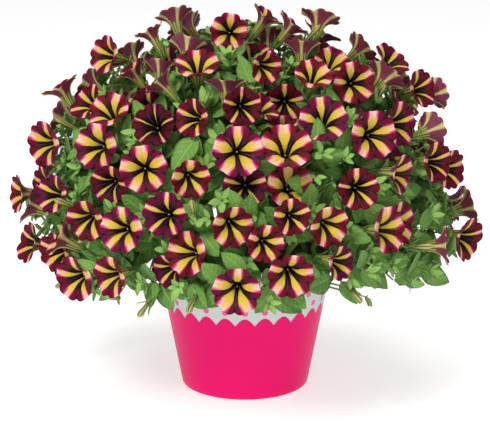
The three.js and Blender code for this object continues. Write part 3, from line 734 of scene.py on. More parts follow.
def grow_leaf(spray, index, draw):
    """One large leaf of a stem, at the first free place that the draws give."""
    level, upright = cross_axes(spray.axis)
    for attempt in range(LEAF_TRIES):
        turn = math.radians(LEAF_TURN * index + draw(-45, 45))
        lean = math.tan(math.radians(draw(5, 27)))
        direction = unit(spray.axis + level * (math.cos(turn) * lean) + upright * (math.sin(turn) * lean))
        base = place_in_mound(direction, draw(0.72, 0.98))
        start = MOUND_CENTRE + spray.axis * draw(spray.bend + 4, STEM_END - 6)
        spin = draw(0, 2 * math.pi)
        outward = draw(0.05, 0.6)
        length = draw(*LEAF_LENGTHS) * (1 - 0.007 * attempt)
        width = length * draw(*LEAF_BREADTHS)
        droop = draw(*LEAF_DROOPS)
        if not is_run_free(start, base, TWIG_RADIUS, spray, 6):
            continue
        if any(run_meets_leaf(start, base, leaf) for leaf in spray.leaves):
            continue
        across, over = cross_axes(direction)
        axis = unit(across * math.cos(spin) + over * math.sin(spin) + direction * outward - UP * 0.15)
        face = unit(direction - axis * float(direction @ axis))
        leaf = Leaf(start, base, axis, face, length, width, droop)
        if is_leaf_free(leaf, spray):
            spray.leaves.append(leaf)
            return


def grow_bud(spray, bud, draw):
    """One furled bud near its place at the front, if there is room."""
    around, up, length, point_around, point_up = bud
    for attempt in range(BUD_TRIES):
        aside = (draw(-0.15, 0.15) * attempt) / max(0.3, math.cos(math.radians(up)))
        direction = heading(around + aside, up + draw(-0.15, 0.15) * attempt)
        foot = place_in_mound(direction, draw(0.88, 0.97))
        pointing = heading(point_around, point_up)
        tip = foot + pointing * length
        start = MOUND_CENTRE + spray.axis * draw(spray.bend + 4, STEM_END - 6)
        if is_run_free(start, foot, 1.2, spray, 6) and is_run_free(foot, tip, 3, spray):
            grown = SimpleNamespace(start=start, foot=foot, tip=tip, pointing=pointing, length=length)
            spray.buds.append(grown)
            return


def grow_leaves():
    """The buds first, then the large leaves round each stem."""
    leaf_draw = draws(LEAF_SEED)
    for bud in FRONT_BUDS:
        grow_bud(nearest_spray(heading(bud[0], bud[1])), bud, leaf_draw)
    for spray in SPRAYS:
        for index in range(LEAVES_PER_STEM):
            grow_leaf(spray, index, leaf_draw)


def stem_path(spray):
    """The points of a main stem's line: out of the soil, over the rim and into its part of the mound."""
    top = spray.foot + UP * 24
    rise = spray.foot + UP * (18 + 22 * float(spray.outward @ spray.axis))
    rise[2] = max(rise[2], top[2] + 4)
    bend = MOUND_CENTRE + spray.axis * spray.bend
    return [spray.foot, top, rise, bend, MOUND_CENTRE + spray.axis * STEM_END]


# Wiring

# Trees of nodes are put together with these, for shapes and finishes alike.


class Wiring:
    """Adds nodes to a tree and joins them up."""

    def __init__(self, tree):
        self.tree = tree

    def add(self, kind, inputs=None, **settings):
        """A new node with its settings, and its inputs set or joined."""
        node = self.tree.nodes.new(kind)
        for name, value in settings.items():
            setattr(node, name, value)
        for key, value in (inputs or {}).items():
            self.feed(node.inputs[key], value)
        return node

    def feed(self, socket, value):
        """Joins another node's output to a socket, or sets a plain value."""
        if isinstance(value, bpy.types.NodeSocket):
            self.tree.links.new(value, socket)
        else:
            socket.default_value = value

    def read(self, title, kind):
        """A mark that a piece's points carry."""
        return self.add("GeometryNodeInputNamedAttribute", {"Name": title}, data_type=kind).outputs[0]

    def finish_with(self, shape, material):
        """Ends a tree of shapes: every copy made real, in one material."""
        real = self.add("GeometryNodeRealizeInstances", {"Geometry": shape})
        finished = self.add("GeometryNodeSetMaterial", {"Geometry": real.outputs[0], "Material": material})
        self.add("NodeGroupOutput", {"Geometry": finished.outputs[0]})


class Finish(Wiring):
    """A material's nodes, with short names for the sums that patterns need."""

    def sum(self, operation, first, second=0.0):
        """One step of arithmetic."""
        node = self.add("ShaderNodeMath", {0: first, 1: second, 2: 0.0}, operation=operation)
        return node.outputs[0]

    def plus(self, first, second):
        """Both added together."""
        return self.sum("ADD", first, second)

    def minus(self, first, second):
        """The first less the second."""
        return self.sum("SUBTRACT", first, second)

    def times(self, first, second):
        """One multiplied by the other."""
        return self.sum("MULTIPLY", first, second)

    def size(self, first):
        """How far a number is from nought."""
        return self.sum("ABSOLUTE", first)

    def ramp(self, value, low, high, start=0.0, end=1.0):
        """A smooth rise from start to end as value goes from low to high."""
        inputs = {"Value": value, "From Min": low, "From Max": high, "To Min": start, "To Max": end}
        return self.add("ShaderNodeMapRange", inputs, interpolation_type="SMOOTHSTEP").outputs["Result"]

    def blend(self, share, first, second, blend_type="MIX"):
        """The first colour, turned into the second by a share."""
        inputs = {0: share, 6: first, 7: second}
        node = self.add("ShaderNodeMix", inputs, data_type="RGBA", blend_type=blend_type)
        return node.outputs[2]

    def vector(self, x, y, z=0.0):
        """A place from its three numbers."""
        return self.add("ShaderNodeCombineXYZ", {0: x, 1: y, 2: z}).outputs[0]

    def noise(self, place, scale, detail=3.0):
        """Soft random patches, from 0 to 1."""
        inputs = {"Vector": place, "Scale": scale, "Detail": detail}
        return self.add("ShaderNodeTexNoise", inputs).outputs["Fac"]

    def mark(self, name):
        """A number that each piece of a plant carries, such as how light its colour is."""
        return self.add("ShaderNodeAttribute", attribute_name=name).outputs["Fac"]

    def uv(self):
        """The two numbers that a shape's faces carry for its pattern."""
        node = self.add("ShaderNodeSeparateXYZ", {0: self.add("ShaderNodeTexCoord").outputs["UV"]})
        return node.outputs[0], node.outputs[1]

    def place(self):
        """A place on the piece, in the shared frame's metres."""
        return self.add("ShaderNodeTexCoord").outputs["Object"]


def new_material(name):
    """An empty material, its nodes, and the shader that they feed."""
    material = bpy.data.materials.new(name)
    material.use_nodes = True
    finish = Finish(material.node_tree)
    shader = material.node_tree.nodes["Principled BSDF"]
    return material, finish, shader


def bump(finish, shader, height, strength, depth):
    """Fine relief on a finish."""
    node = finish.add("ShaderNodeBump", {"Strength": strength, "Distance": depth, "Height": height})
    finish.feed(shader.inputs["Normal"], node.outputs[0])


def group_with(name, inputs, outputs, kind="ShaderNodeTree"):
    """An empty tree of nodes with named inputs and outputs."""
    group = bpy.data.node_groups.new(name, kind)
    for title, socket, value in inputs:
        made = group.interface.new_socket(name=title, in_out="INPUT", socket_type=socket)
        if value is not None:
            made.default_value = value
    for title, socket in outputs:
        group.interface.new_socket(name=title, in_out="OUTPUT", socket_type=socket)
    return group


def mottle_group():
    """Patches of lighter and darker growth over any green: a shade to multiply by, and a fine relief."""
    group = group_with(
        "growth mottle",
        [("Place", "NodeSocketVector", None), ("Patch", "NodeSocketFloat", 60.0),
         ("Depth", "NodeSocketFloat", 0.3)],
        [("Shade", "NodeSocketFloat"), ("Relief", "NodeSocketFloat")],
    )
    finish = Finish(group)
    given = finish.add("NodeGroupInput")
    patches = finish.noise(given.outputs["Place"], given.outputs["Patch"], 3.0)
    fine = finish.noise(given.outputs["Place"], finish.times(given.outputs["Patch"], 12.0), 2.0)
    both = finish.plus(finish.times(patches, 0.75), finish.times(fine, 0.25))
    swing = finish.times(finish.minus(both, 0.5), given.outputs["Depth"])
    shade = finish.plus(1.0, finish.times(swing, 2.0))
    finish.add("NodeGroupOutput", {"Shade": shade, "Relief": fine})
    return group


def streak_group():
    """Streaks that run from a bloom's throat to its rim, or along a bud: from 0 to 1."""
    group = group_with(
        "radial streaks",
        [("Around", "NodeSocketFloat", 0.0), ("Outward", "NodeSocketFloat", 0.0),
         ("Seed", "NodeSocketFloat", 0.0), ("Count", "NodeSocketFloat", 14.0)],
        [("Streak", "NodeSocketFloat")],
    )
    finish = Finish(group)
    given = finish.add("NodeGroupInput")
    turn = finish.times(given.outputs["Around"], PETAL_TURN)
    reach = finish.times(given.outputs["Count"], 0.8)
    x = finish.times(finish.sum("COSINE", turn), reach)
    y = finish.times(finish.sum("SINE", turn), reach)
    along = finish.plus(finish.times(given.outputs["Outward"], 2.2),
                       finish.times(given.outputs["Seed"], 37.0))
    streak = finish.noise(finish.vector(x, y, along), 1.0, 2.5)
    finish.add("NodeGroupOutput", {"Streak": streak})
    return group


def use_group(finish, group, inputs):
    """One use of a group in a finish's nodes."""
    node = finish.add("ShaderNodeGroup", node_tree=group)
    for key, value in inputs.items():
        finish.feed(node.inputs[key], value)
    return node


# Finishes


def petal_material(streaks):
    """Five yellow rays, pale towards the rim, between two-lobed velvet sectors."""
    material, finish, shader = new_material("striped velvet petals")
    around, part = finish.uv()
    wide, hue, light, seed = (finish.mark(name) for name in ("wide", "hue", "light", "seed"))
    streak = use_group(finish, streaks, {"Around": around, "Outward": part, "Seed": seed}).outputs[0]
    swing = finish.minus(streak, 0.5)
    aside = finish.size(finish.minus(finish.sum("FRACT", around), 0.5))
    out = finish.sum("MINIMUM", part, 1.0)

    # The ray: pointed in the throat, widest past the middle, then pale and streaked with a soft magenta edge
    petal = finish.plus(finish.sum("FLOOR", around), finish.times(seed, 53.0))
    uneven = finish.add("ShaderNodeTexWhiteNoise", {"W": petal}, noise_dimensions="1D").outputs["Value"]
    wide = finish.times(wide, finish.ramp(uneven, 0.0, 1.0, 0.76, 1.18))
    gap = finish.times(finish.times(aside, PETAL_TURN), out)
    gap = finish.plus(gap, finish.times(swing, finish.ramp(out, 0.1, 0.8, 0.03, 0.14)))
    width = finish.times(wide, finish.ramp(out, 0.0, 0.66))
    soft = finish.ramp(out, 0.5, 1.0, 0.008, 0.05)
    ray = finish.ramp(gap, finish.minus(width, soft), finish.plus(width, soft), 1.0, 0.0)
    yellow = finish.blend(finish.ramp(out, 0.05, 0.25), RAY_THROAT, RAY_YELLOW)
    share = finish.sum("DIVIDE", gap, finish.plus(width, 0.001))
    fading = finish.ramp(finish.plus(out, finish.times(swing, 0.3)), 0.5, 0.95)
    streaked = finish.plus(share, finish.times(swing, 1.6))
    flank = finish.ramp(streaked, 0.05, 0.6, 0.12, 1.0)
    paling = finish.sum("MAXIMUM", flank, finish.ramp(out, 0.84, 1.0, 0.0, 0.75))
    paling = finish.times(fading, paling)
    paling = finish.times(paling, finish.ramp(light, 0.1, 0.6, 0.5, 1.0))
    ray_colour = finish.blend(paling, yellow, RAY_PALE)
    margin = finish.times(finish.ramp(share, 0.42, 1.0), finish.ramp(out, 0.45, 0.85, 0.0, 0.95))
    ray_colour = finish.blend(margin, ray_colour, RAY_EDGE)

    # The sectors: near black, with a rounded crimson or magenta lobe on each side towards the rim, and a
    # painted highlight down each sector's crease
    lobe_colour = finish.blend(hue, LOBE_CRIMSON, LOBE_MAGENTA)
    across = finish.sum("DIVIDE", finish.times(finish.minus(aside, LOBE_ASIDE), out), LOBE_WIDTH)
    outward = finish.sum("DIVIDE", finish.minus(out, LOBE_OUT), LOBE_LENGTH)
    away = finish.plus(finish.times(across, across), finish.times(outward, outward))
    away = finish.plus(finish.sum("SQRT", away), finish.times(swing, 0.6))
    flush = finish.ramp(away, 0.55, 1.15, 1.0, 0.0)
    flush = finish.times(flush, finish.ramp(light, 0.0, 0.7, 0.55, 1.0))
    sector = finish.blend(flush, SECTOR_DARK, lobe_colour)
    crease = finish.ramp(aside, 0.4, 0.5)
    # Painted highlight: a grey sheen mixed into the base colour along each sector's crease, in streaks,
    # fading out towards the rim
    painted_sheen = finish.times(finish.ramp(streak, 0.4, 0.65), finish.ramp(out, 0.9, 0.6, 0.0, 0.2))
    sector = finish.blend(finish.times(painted_sheen, crease), sector, SECTOR_PAINTED_SHEEN)
    face = finish.blend(ray, sector, ray_colour)
    halo = finish.ramp(gap, width, finish.plus(width, 0.075), 1.0, 0.0)
    halo = finish.times(halo, finish.minus(1.0, ray))
    halo = finish.times(halo, finish.ramp(out, 0.6, 0.9, 0.0, 0.85))
    face = finish.blend(halo, face, RAY_EDGE)
    face = finish.blend(finish.ramp(out, 0.03, 0.1, 1.0, 0.0), face, THROAT_DARK)

    # The backs: dusky, with a greenish ray and dark veins
    vein = finish.ramp(streak, 0.42, 0.3)
    back_ray = finish.ramp(gap, finish.times(wide, 0.4), finish.plus(wide, 0.1), 0.9, 0.0)
    back = finish.blend(hue, BACK_DUSK, BACK_MAUVE)
    back = finish.blend(finish.times(vein, 0.6), back, BACK_VEIN)
    back = finish.blend(back_ray, back, BACK_RAY)

    # The tube: yellow-green with dark stripes
    stripe = finish.plus(aside, finish.times(swing, 0.16))
    stripe = finish.times(finish.ramp(stripe, 0.2, 0.27), finish.ramp(stripe, 0.42, 0.36))
    tube = finish.blend(streak, TUBE_GREEN, TUBE_YELLOW)
    tube = finish.blend(finish.times(stripe, 0.85), tube, TUBE_STRIPE)
    behind = finish.ramp(part, 1.0, 1.03)
    below = finish.ramp(part, 1.9, 2.1)
    colour = finish.blend(below, finish.blend(behind, face, back), tube)
    finish.feed(shader.inputs["Base Color"], colour)
    finish.feed(shader.inputs["Roughness"], finish.ramp(streak, 0.2, 0.8, 0.5, 0.72))
    shader.inputs["Specular IOR Level"].default_value = 0.12
    relief = finish.plus(finish.times(streak, 0.8), finish.times(crease, -0.5))
    bump(finish, shader, relief, 0.5, 0.0007)
    return material


def leaf_material(mottle):
    """Green blades with a pale midrib, arched side veins and a fine net between them, paler beneath."""
    material, finish, shader = new_material("soft green leaves")
    along, across = finish.uv()
    tint = finish.mark("tint")
    below = finish.ramp(across, 1.9, 2.1)
    aside = finish.size(finish.minus(across, finish.times(below, 4.0)))
    spread = use_group(finish, mottle, {"Place": finish.place(), "Patch": 55.0, "Depth": 0.4})
    midrib = finish.ramp(aside, 0.02, 0.09, 1.0, 0.0)
    slanted = finish.minus(along, finish.times(finish.sum("POWER", aside, 0.8), 0.24))
    step = finish.sum("FRACT", finish.times(slanted, SIDE_VEINS))
    step = finish.size(finish.minus(step, 0.5))
    side = finish.ramp(step, 0.03, 0.11, 1.0, 0.0)
    side = finish.times(side, finish.ramp(aside, 0.75, 1.0, 0.75, 0.0))
    cells = finish.add("ShaderNodeTexVoronoi", {
        "Vector": finish.vector(along, finish.times(aside, 0.4)), "Scale": 26.0,
    }, feature="DISTANCE_TO_EDGE").outputs["Distance"]
    net = finish.ramp(cells, 0.0, 0.12, 0.35, 0.0)
    veins = finish.sum("MAXIMUM", finish.sum("MAXIMUM", midrib, side), net)
    young = finish.blend(tint, LEAF_DEEP, LEAF_MID)
    blade = finish.blend(finish.ramp(tint, 0.55, 1.0), young, LEAF_YOUNG)
    blade = finish.blend(finish.times(veins, 0.5), blade, LEAF_VEIN)
    blade = finish.blend(finish.times(below, 0.55), blade, LEAF_UNDER)
    shaded = finish.blend(1.0, blade, spread.outputs["Shade"], "MULTIPLY")
    finish.feed(shader.inputs["Base Color"], shaded)
    finish.feed(shader.inputs["Roughness"], finish.ramp(spread.outputs["Relief"], 0.3, 0.7, 0.42, 0.6))
    shader.inputs["Sheen Weight"].default_value = 0.05
    shader.inputs["Specular IOR Level"].default_value = 0.35
    grain = finish.times(spread.outputs["Relief"], 0.4)
    relief = finish.minus(grain, finish.times(veins, 0.9))
    bump(finish, shader, relief, 0.6, 0.0009)
    return material


def stem_material(mottle):
    """Matt green, paler in patches."""
    material, finish, shader = new_material("hairy green stems")
    spread = use_group(finish, mottle, {"Place": finish.place(), "Patch": 90.0, "Depth": 0.5})
    blush = finish.ramp(finish.noise(finish.place(), 30.0), 0.5, 0.75)
    base = finish.blend(blush, STEM_GREEN, STEM_PALE)
    shaded = finish.blend(1.0, base, spread.outputs["Shade"], "MULTIPLY")
    finish.feed(shader.inputs["Base Color"], shaded)
    finish.feed(shader.inputs["Roughness"], finish.ramp(spread.outputs["Relief"], 0.3, 0.7, 0.5, 0.7))
    shader.inputs["Sheen Weight"].default_value = 0.08
    bump(finish, shader, spread.outputs["Relief"], 0.4, 0.0004)
    return material


def bud_material(streaks):
    """Slender twisted buds, yellow-green with dark stripes."""
    material, finish, shader = new_material("striped buds")
    around, part = finish.uv()
    seed = finish.mark("seed")
    twisted = finish.plus(around, finish.times(part, 0.7))
    streak = use_group(finish, streaks, {"Around": twisted, "Outward": part, "Seed": seed}).outputs[0]
    aside = finish.size(finish.minus(finish.sum("FRACT", twisted), 0.5))
    swing = finish.times(finish.minus(streak, 0.5), 0.2)
    stripe = finish.ramp(finish.plus(aside, swing), 0.27, 0.36)
    base = finish.blend(part, TUBE_GREEN, TUBE_YELLOW)
    colour = finish.blend(finish.times(stripe, 0.85), base, TUBE_STRIPE)
    finish.feed(shader.inputs["Base Color"], colour)
    finish.feed(shader.inputs["Roughness"], finish.ramp(streak, 0.2, 0.8, 0.5, 0.7))
    shader.inputs["Sheen Weight"].default_value = 0.06
    bump(finish, shader, streak, 0.5, 0.0006)
    return material


def pot_material():
    """Moulded plastic in pink, under a silver-grey band with a scalloped edge and round dots."""
    material, finish, shader = new_material("printed pot")
    place = finish.add("ShaderNodeSeparateXYZ", {0: finish.place()})
    x, y, z = place.outputs
    turn = finish.sum("DIVIDE", finish.sum("ARCTAN2", y, x), 2 * math.pi)
    scallop = finish.size(finish.sum("SINE", finish.times(turn, math.pi * SCALLOPS)))
    border = finish.plus(BAND_BOTTOM * MM, finish.times(scallop, SCALLOP_DEPTH * MM))
    band = finish.ramp(finish.minus(z, border), -0.0002, 0.0002)

    def dots(count, middle, step, rows, size, shift):
        """Staggered rows of round dots: 1 inside a dot."""
        row = finish.sum("DIVIDE", finish.minus(z, middle * MM), step * MM)
        nearest = finish.sum("ROUND", row)
        stagger = finish.times(nearest, 0.5)
        column = finish.plus(finish.plus(finish.times(turn, count), stagger), shift)
        across = finish.minus(finish.sum("FRACT", column), 0.5)
        across = finish.times(across, 2 * math.pi * BAND_RADIUS * MM / count)
        high = finish.times(finish.minus(row, nearest), step * MM)
        away = finish.plus(finish.times(across, across), finish.times(high, high))
        away = finish.sum("SQRT", away)
        inside = finish.ramp(away, size * MM - 0.0002, size * MM + 0.0002, 1.0, 0.0)
        shown = finish.ramp(finish.size(row), rows - 0.5, rows - 0.49, 1.0, 0.0)
        return finish.times(inside, shown)

    upper = dots(SCALLOPS, DOT_MIDDLE, DOT_STEP, 2, DOT_RADIUS, 0.5)
    grain = finish.noise(finish.place(), 400.0)
    silver = finish.blend(upper, POT_SILVER, DOT_ROSE)
    colour = finish.blend(band, POT_PINK, silver)
    finish.feed(shader.inputs["Base Color"], colour)
    finish.feed(shader.inputs["Roughness"], finish.ramp(grain, 0.3, 0.7, 0.34, 0.42))
    shader.inputs["Specular IOR Level"].default_value = 0.1
    bump(finish, shader, grain, 0.08, 0.0002)
    return material


def soil_material():
    """Dark crumbly soil with a few pale flecks."""
    material, finish, shader = new_material("damp potting soil")
    place = finish.place()
    clods = finish.noise(place, 180.0, 6.0)
    flecks = finish.add("ShaderNodeTexVoronoi", {"Vector": place, "Scale": 420.0}).outputs["Color"]
    bright = finish.ramp(finish.add("ShaderNodeSeparateColor", {0: flecks}).outputs[0], 0.9, 0.96, 0.0, 0.35)
    base = finish.blend(clods, SOIL_DARK, SOIL_BROWN)
    finish.feed(shader.inputs["Base Color"], finish.blend(bright, base, SOIL_FLECK))
    finish.feed(shader.inputs["Roughness"], finish.ramp(clods, 0.3, 0.7, 0.8, 0.98))
    bump(finish, shader, clods, 0.9, 0.002)
    return material


def stigma_material():
    """Pale green, finely speckled."""
    material, finish, shader = new_material("pale throat")
    speckle = finish.noise(finish.place(), 900.0)
    finish.feed(shader.inputs["Base Color"], finish.blend(speckle, STIGMA_GREEN, STIGMA_PALE))
    shader.inputs["Roughness"].default_value = 0.5
    return material


# Shapes


def new_piece(name, points, faces=(), edges=(), marks=None, smooth=True):
    """An object from points in millimetres, with a number or a vector on each point for each mark."""
    mesh = bpy.data.meshes.new(name)
    mesh.from_pydata((np.asarray(points) * MM).tolist(), edges, faces)
    for title, values in (marks or {}).items():
        values = np.asarray(values)
        if values.ndim == 2:
            mesh.attributes.new(title, "FLOAT_VECTOR", "POINT").data.foreach_set("vector", values.ravel())
        elif values.dtype.kind == "i":
            mesh.attributes.new(title, "INT", "POINT").data.foreach_set("value", values)
        else:
            mesh.attributes.new(title, "FLOAT", "POINT").data.foreach_set("value", values)
    if smooth and faces:
        mesh.shade_smooth()
    piece = bpy.data.objects.new(name, mesh)
    bpy.context.scene.collection.objects.link(piece)
    return piece


def paint_uv(piece, corners):
    """corners holds the (u, v) of each corner of each face, in order."""
    layer = piece.data.uv_layers.new(name="pattern")
    layer.data.foreach_set("uv", np.asarray(corners, float).ravel())


def keep_shape(piece):
    """Keeps the shape that a piece's modifiers give, as its plain mesh."""
    bpy.context.view_layer.update()
    graph = bpy.context.evaluated_depsgraph_get()
    done = piece.evaluated_get(graph)
    mesh = bpy.data.meshes.new_from_object(done, preserve_all_data_layers=True, depsgraph=graph)
    mesh.name = piece.name
    piece.modifiers.clear()
    old = piece.data
    piece.data = mesh
    bpy.data.meshes.remove(old)


def run_tree(piece, tree, inputs=None):
    """Runs a Geometry Nodes tree on a piece and keeps the result as its plain mesh."""
    modifier = piece.modifiers.new("growth", "NODES")
    modifier.node_group = tree
    for item in tree.interface.items_tree:
        if item.in_out == "INPUT" and item.name in (inputs or {}):
            modifier[item.identifier] = inputs[item.name]
    piece.update_tag()
    keep_shape(piece)
    piece.data.shade_smooth()


def scatter_tree(name, kinds):
    """Copies of a few kinds of piece, one on each point, turned and sized as the point says."""
    inputs = [("Geometry", "NodeSocketGeometry", None), ("Finish", "NodeSocketMaterial", None)]
    inputs += [(f"Kind {index}", "NodeSocketObject", None) for index in range(kinds)]
    tree = group_with(name, inputs, [("Geometry", "NodeSocketGeometry")], "GeometryNodeTree")
    wiring = Wiring(tree)
    given = wiring.add("NodeGroupInput")
    joined = wiring.add("GeometryNodeJoinGeometry")
    for index in range(kinds):
        chosen = {"Object": given.outputs[f"Kind {index}"], "As Instance": True}
        info = wiring.add("GeometryNodeObjectInfo", chosen)
        tree.links.new(info.outputs["Geometry"], joined.inputs[0])
    turned = wiring.add("FunctionNodeEulerToRotation", {0: wiring.read("turn", "FLOAT_VECTOR")})
    placed = wiring.add("GeometryNodeInstanceOnPoints", {
        "Points": given.outputs["Geometry"], "Instance": joined.outputs[0], "Pick Instance": True,
        "Instance Index": wiring.read("kind", "INT"), "Rotation": turned.outputs[0],
        "Scale": wiring.read("size", "FLOAT_VECTOR"),
    })
    wiring.finish_with(placed.outputs[0], given.outputs["Finish"])
    return tree


def tube_tree():
    """Round stalks along lines of edges, as thick at each point as its mark says."""
    tree = group_with(
        "stalks along lines",
        [("Geometry", "NodeSocketGeometry", None), ("Sides", "NodeSocketInt", 6),
         ("Finish", "NodeSocketMaterial", None)],
        [("Geometry", "NodeSocketGeometry")], "GeometryNodeTree",
    )
    wiring = Wiring(tree)
    given = wiring.add("NodeGroupInput")
    curve = wiring.add("GeometryNodeMeshToCurve", {0: given.outputs["Geometry"]})
    thick = wiring.read("thick", "FLOAT")
    round_section = {"Resolution": given.outputs["Sides"], "Radius": 1.0}
    circle = wiring.add("GeometryNodeCurvePrimitiveCircle", round_section)
    solid = wiring.add("GeometryNodeCurveToMesh", {
        "Curve": curve.outputs[0], "Profile Curve": circle.outputs[0], "Scale": thick, "Fill Caps": True,
    })
    wiring.finish_with(solid.outputs[0], given.outputs["Finish"])
    return tree


def euler_of(x_axis, y_axis, z_axis):
    """The turn that brings the axes of a kind to the given axes."""
    matrix = Matrix(np.array([x_axis, y_axis, z_axis]).T.tolist())
    return tuple(matrix.to_euler())


def bloom_kind(index):
    """One bloom, facing up: petals, their backs, and the tube, on a rim of BLOOM_RADIUS."""
    draw = draws(BLOOM_SEED + index)
    steps = BLOOM_STEPS * PETALS
    waves = [(draw(0.5, 1.1), draw(0, 2 * math.pi), count) for count in (2, 3, 5)]
    notch_depth, dip = draw(0.09, 0.15), draw(0.02, 0.06)
    points, parts = [[0, 0, -28.0]], [0.0]
    for radius, height, part in BLOOM_PROFILE:
        flare = min(1, radius / BLOOM_RADIUS) ** 2 if part <= 2 else 0
        for step in range(steps):
            petal = step / BLOOM_STEPS
            aside = abs(petal % 1 - 0.5) * 2
            notch = notch_depth * math.exp(-((1 - aside) / 0.19) ** 2) + dip * math.exp(-(aside / 0.3) ** 2)
            reach = radius * (1 - flare * notch)
            turn = math.radians(90 + 360 / PETALS * (petal - 0.5))
            lift = sum(size * math.sin(count * turn + phase) for size, phase, count in waves) * flare
            dome = flare * (1.4 * math.sin(math.pi * aside) - 0.7 * (1 - aside) ** 2)
            points.append([reach * math.cos(turn), reach * math.sin(turn), height + lift + dome])
        parts.append(part)
    points.append([0, 0, BLOOM_PROFILE[-1][1] - 0.5])
    faces, corners = [], []
    rings = len(BLOOM_PROFILE)
    for step in range(steps):
        after = (step + 1) % steps
        left, right = step / BLOOM_STEPS, (step + 1) / BLOOM_STEPS
        faces.append((0, 1 + step, 1 + after))
        corners += [(left, 0), (left, parts[1]), (right, parts[1])]
        for ring in range(rings - 1):
            low, high = 1 + ring * steps, 1 + (ring + 1) * steps
            faces.append((low + step, high + step, high + after, low + after))
            near, far = parts[ring + 1], parts[ring + 2]
            corners += [(left, near), (left, far), (right, far), (right, near)]
        last = 1 + (rings - 1) * steps
        faces.append((last + step, len(points) - 1, last + after))
        corners += [(left, parts[-1]), (left, 3), (right, parts[-1])]
    piece = new_piece(f"bloom kind {index}", points, faces)
    paint_uv(piece, corners)
    return piece


def leaf_kind(index, rows=8, columns=4):
    """One leaf blade of length 1 and width 1, in metres, along +Y with its face up."""
    draw = draws(LEAF_KIND_SEED + index)
    wave, phase, curl = draw(0.01, 0.035), draw(0, 6.28), draw(0.0, 0.12)
    points, grid = [], {}
    for side, lift in ((0, 0.006), (1, -0.006)):
        for row in range(rows + 1):
            share = row / rows
            swell = math.sin(math.pi * share**0.76) ** 0.8 * 0.5 if row < rows else 0
            for column in range(columns + 1):
                across = column / columns * 2 - 1
                outline = abs(across) == 1 or row in (0, rows)
                if outline and side:
                    grid[side, row, column] = grid[0, row, column]
                    continue
                if row in (0, rows) and column:
                    grid[side, row, column] = grid[side, row, 0]
                    continue
                ripple = wave * math.sin(share * 11 + phase + across * 1.5) * abs(across)
                height = abs(across) * 0.09 - curl * share * share + ripple + (0 if outline else lift)
                grid[side, row, column] = len(points)
                points.append([across * swell * 1000, share * 1000, height * 1000])
    faces, corners = [], []
    for side in (0, 1):
        for row in range(rows):
            for column in range(columns):
                spots = [(row, column), (row, column + 1), (row + 1, column + 1), (row + 1, column)]
                if side:
                    spots.reverse()
                ring, marks = [], []
                for spot in spots:
                    number = grid[side, spot[0], spot[1]]
                    if number not in ring:
                        ring.append(number)
                        marks.append((spot[0] / rows, spot[1] / columns * 2 - 1 + 4 * side))
                if len(ring) > 2:
                    faces.append(ring)
                    corners += marks
    piece = new_piece(f"leaf kind {index}", points, faces)
    paint_uv(piece, corners)
    return piece


def large_leaf_kind(index):
    """The same blade with more faces, for the large leaves."""
    return leaf_kind(index, 12, 6)


def lathe(name, profile, sides, smooth=True):
    """A closed turned shape: profile is a list of (radius, height), from the axis and back to it."""
    points, faces = [], []
    for radius, height in profile[1:-1]:
        for side in range(sides):
            turn = 2 * math.pi * side / sides
            points.append([radius * math.cos(turn), radius * math.sin(turn), height])
    rings = len(profile) - 2
    start, end = len(points), len(points) + 1
    points += [[0, 0, profile[0][1]], [0, 0, profile[-1][1]]]
    for side in range(sides):
        after = (side + 1) % sides
        faces.append((start, after, side))
        for ring in range(rings - 1):
            low, high = ring * sides, (ring + 1) * sides
            faces.append((low + side, low + after, high + after, high + side))
        faces.append((end, (rings - 1) * sides + side, (rings - 1) * sides + after))
    return new_piece(name, points, faces, smooth=smooth)


# Pot and soil


def wall_radius(height):
    """The outside of the pot's wall at a height."""
    return POT_BASE_RADIUS + (POT_RIM_RADIUS - POT_BASE_RADIUS) * height / POT_HEIGHT


def make_pot():
    """The turned pot, open at the top, with its lip, its foot ring and four drain holes."""
    low = POT_HEIGHT - RIM_DEPTH
    profile = [
        (0, 2.2), (POT_BASE_RADIUS - 8, 2.2), (POT_BASE_RADIUS - 6.5, 0.3), (POT_BASE_RADIUS - 5, 0),
        (POT_BASE_RADIUS - 1.6, 0), (POT_BASE_RADIUS - 0.4, 0.5), (wall_radius(2.2), 2.2),
    ]
    profile += [(wall_radius(height), height) for height in np.linspace(8, low - 1, 12)]
    profile += [
        (wall_radius(low) + 0.2, low - 0.2), (wall_radius(low) + RIM_LIP - 0.6, low + 0.5),
        (wall_radius(low) + RIM_LIP, low + 1.4), (POT_RIM_RADIUS + RIM_LIP - 0.1, POT_HEIGHT - 1),
        (POT_RIM_RADIUS + RIM_LIP - 0.8, POT_HEIGHT - 0.2), (POT_RIM_RADIUS + RIM_LIP - 1.6, POT_HEIGHT),
        (POT_RIM_RADIUS - 1.4, POT_HEIGHT), (POT_RIM_RADIUS - POT_WALL - 0.2, POT_HEIGHT - 0.8),
    ]
    profile += [(wall_radius(height) - POT_WALL, height) for height in (low - 2, 100, 50, 6)]
    profile += [(wall_radius(4.6) - POT_WALL - 1.5, 4.7), (0, 4.6)]
    pot = lathe("pot", profile, POT_SIDES)
    for turn in range(4):
        bpy.ops.mesh.primitive_cylinder_add(vertices=32, radius=DRAIN_RADIUS * MM, depth=0.02)
        drill = bpy.context.object
        angle = math.radians(45 + 90 * turn)
        spot = Vector((math.cos(angle) * DRAIN_RING * MM, math.sin(angle) * DRAIN_RING * MM, 0))
        drill.data.transform(Matrix.Translation(spot))
        cut = pot.modifiers.new("drain hole", "BOOLEAN")
        cut.operation = "DIFFERENCE"
        cut.solver = "EXACT"
        cut.object = drill
        keep_shape(pot)
        bpy.data.objects.remove(drill)
    pot.data.shade_smooth()
    pot.data.materials.append(pot_material())
    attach(pot, "root")
    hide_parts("pot")


def soil_height(x, y):
    """How far the soil's surface stands above or below its level."""
    spot = Vector((x * 0.05, y * 0.05, 0.3))
    return 1.6 * noise.noise(spot) + 0.9 * noise.noise(spot * 3.7)


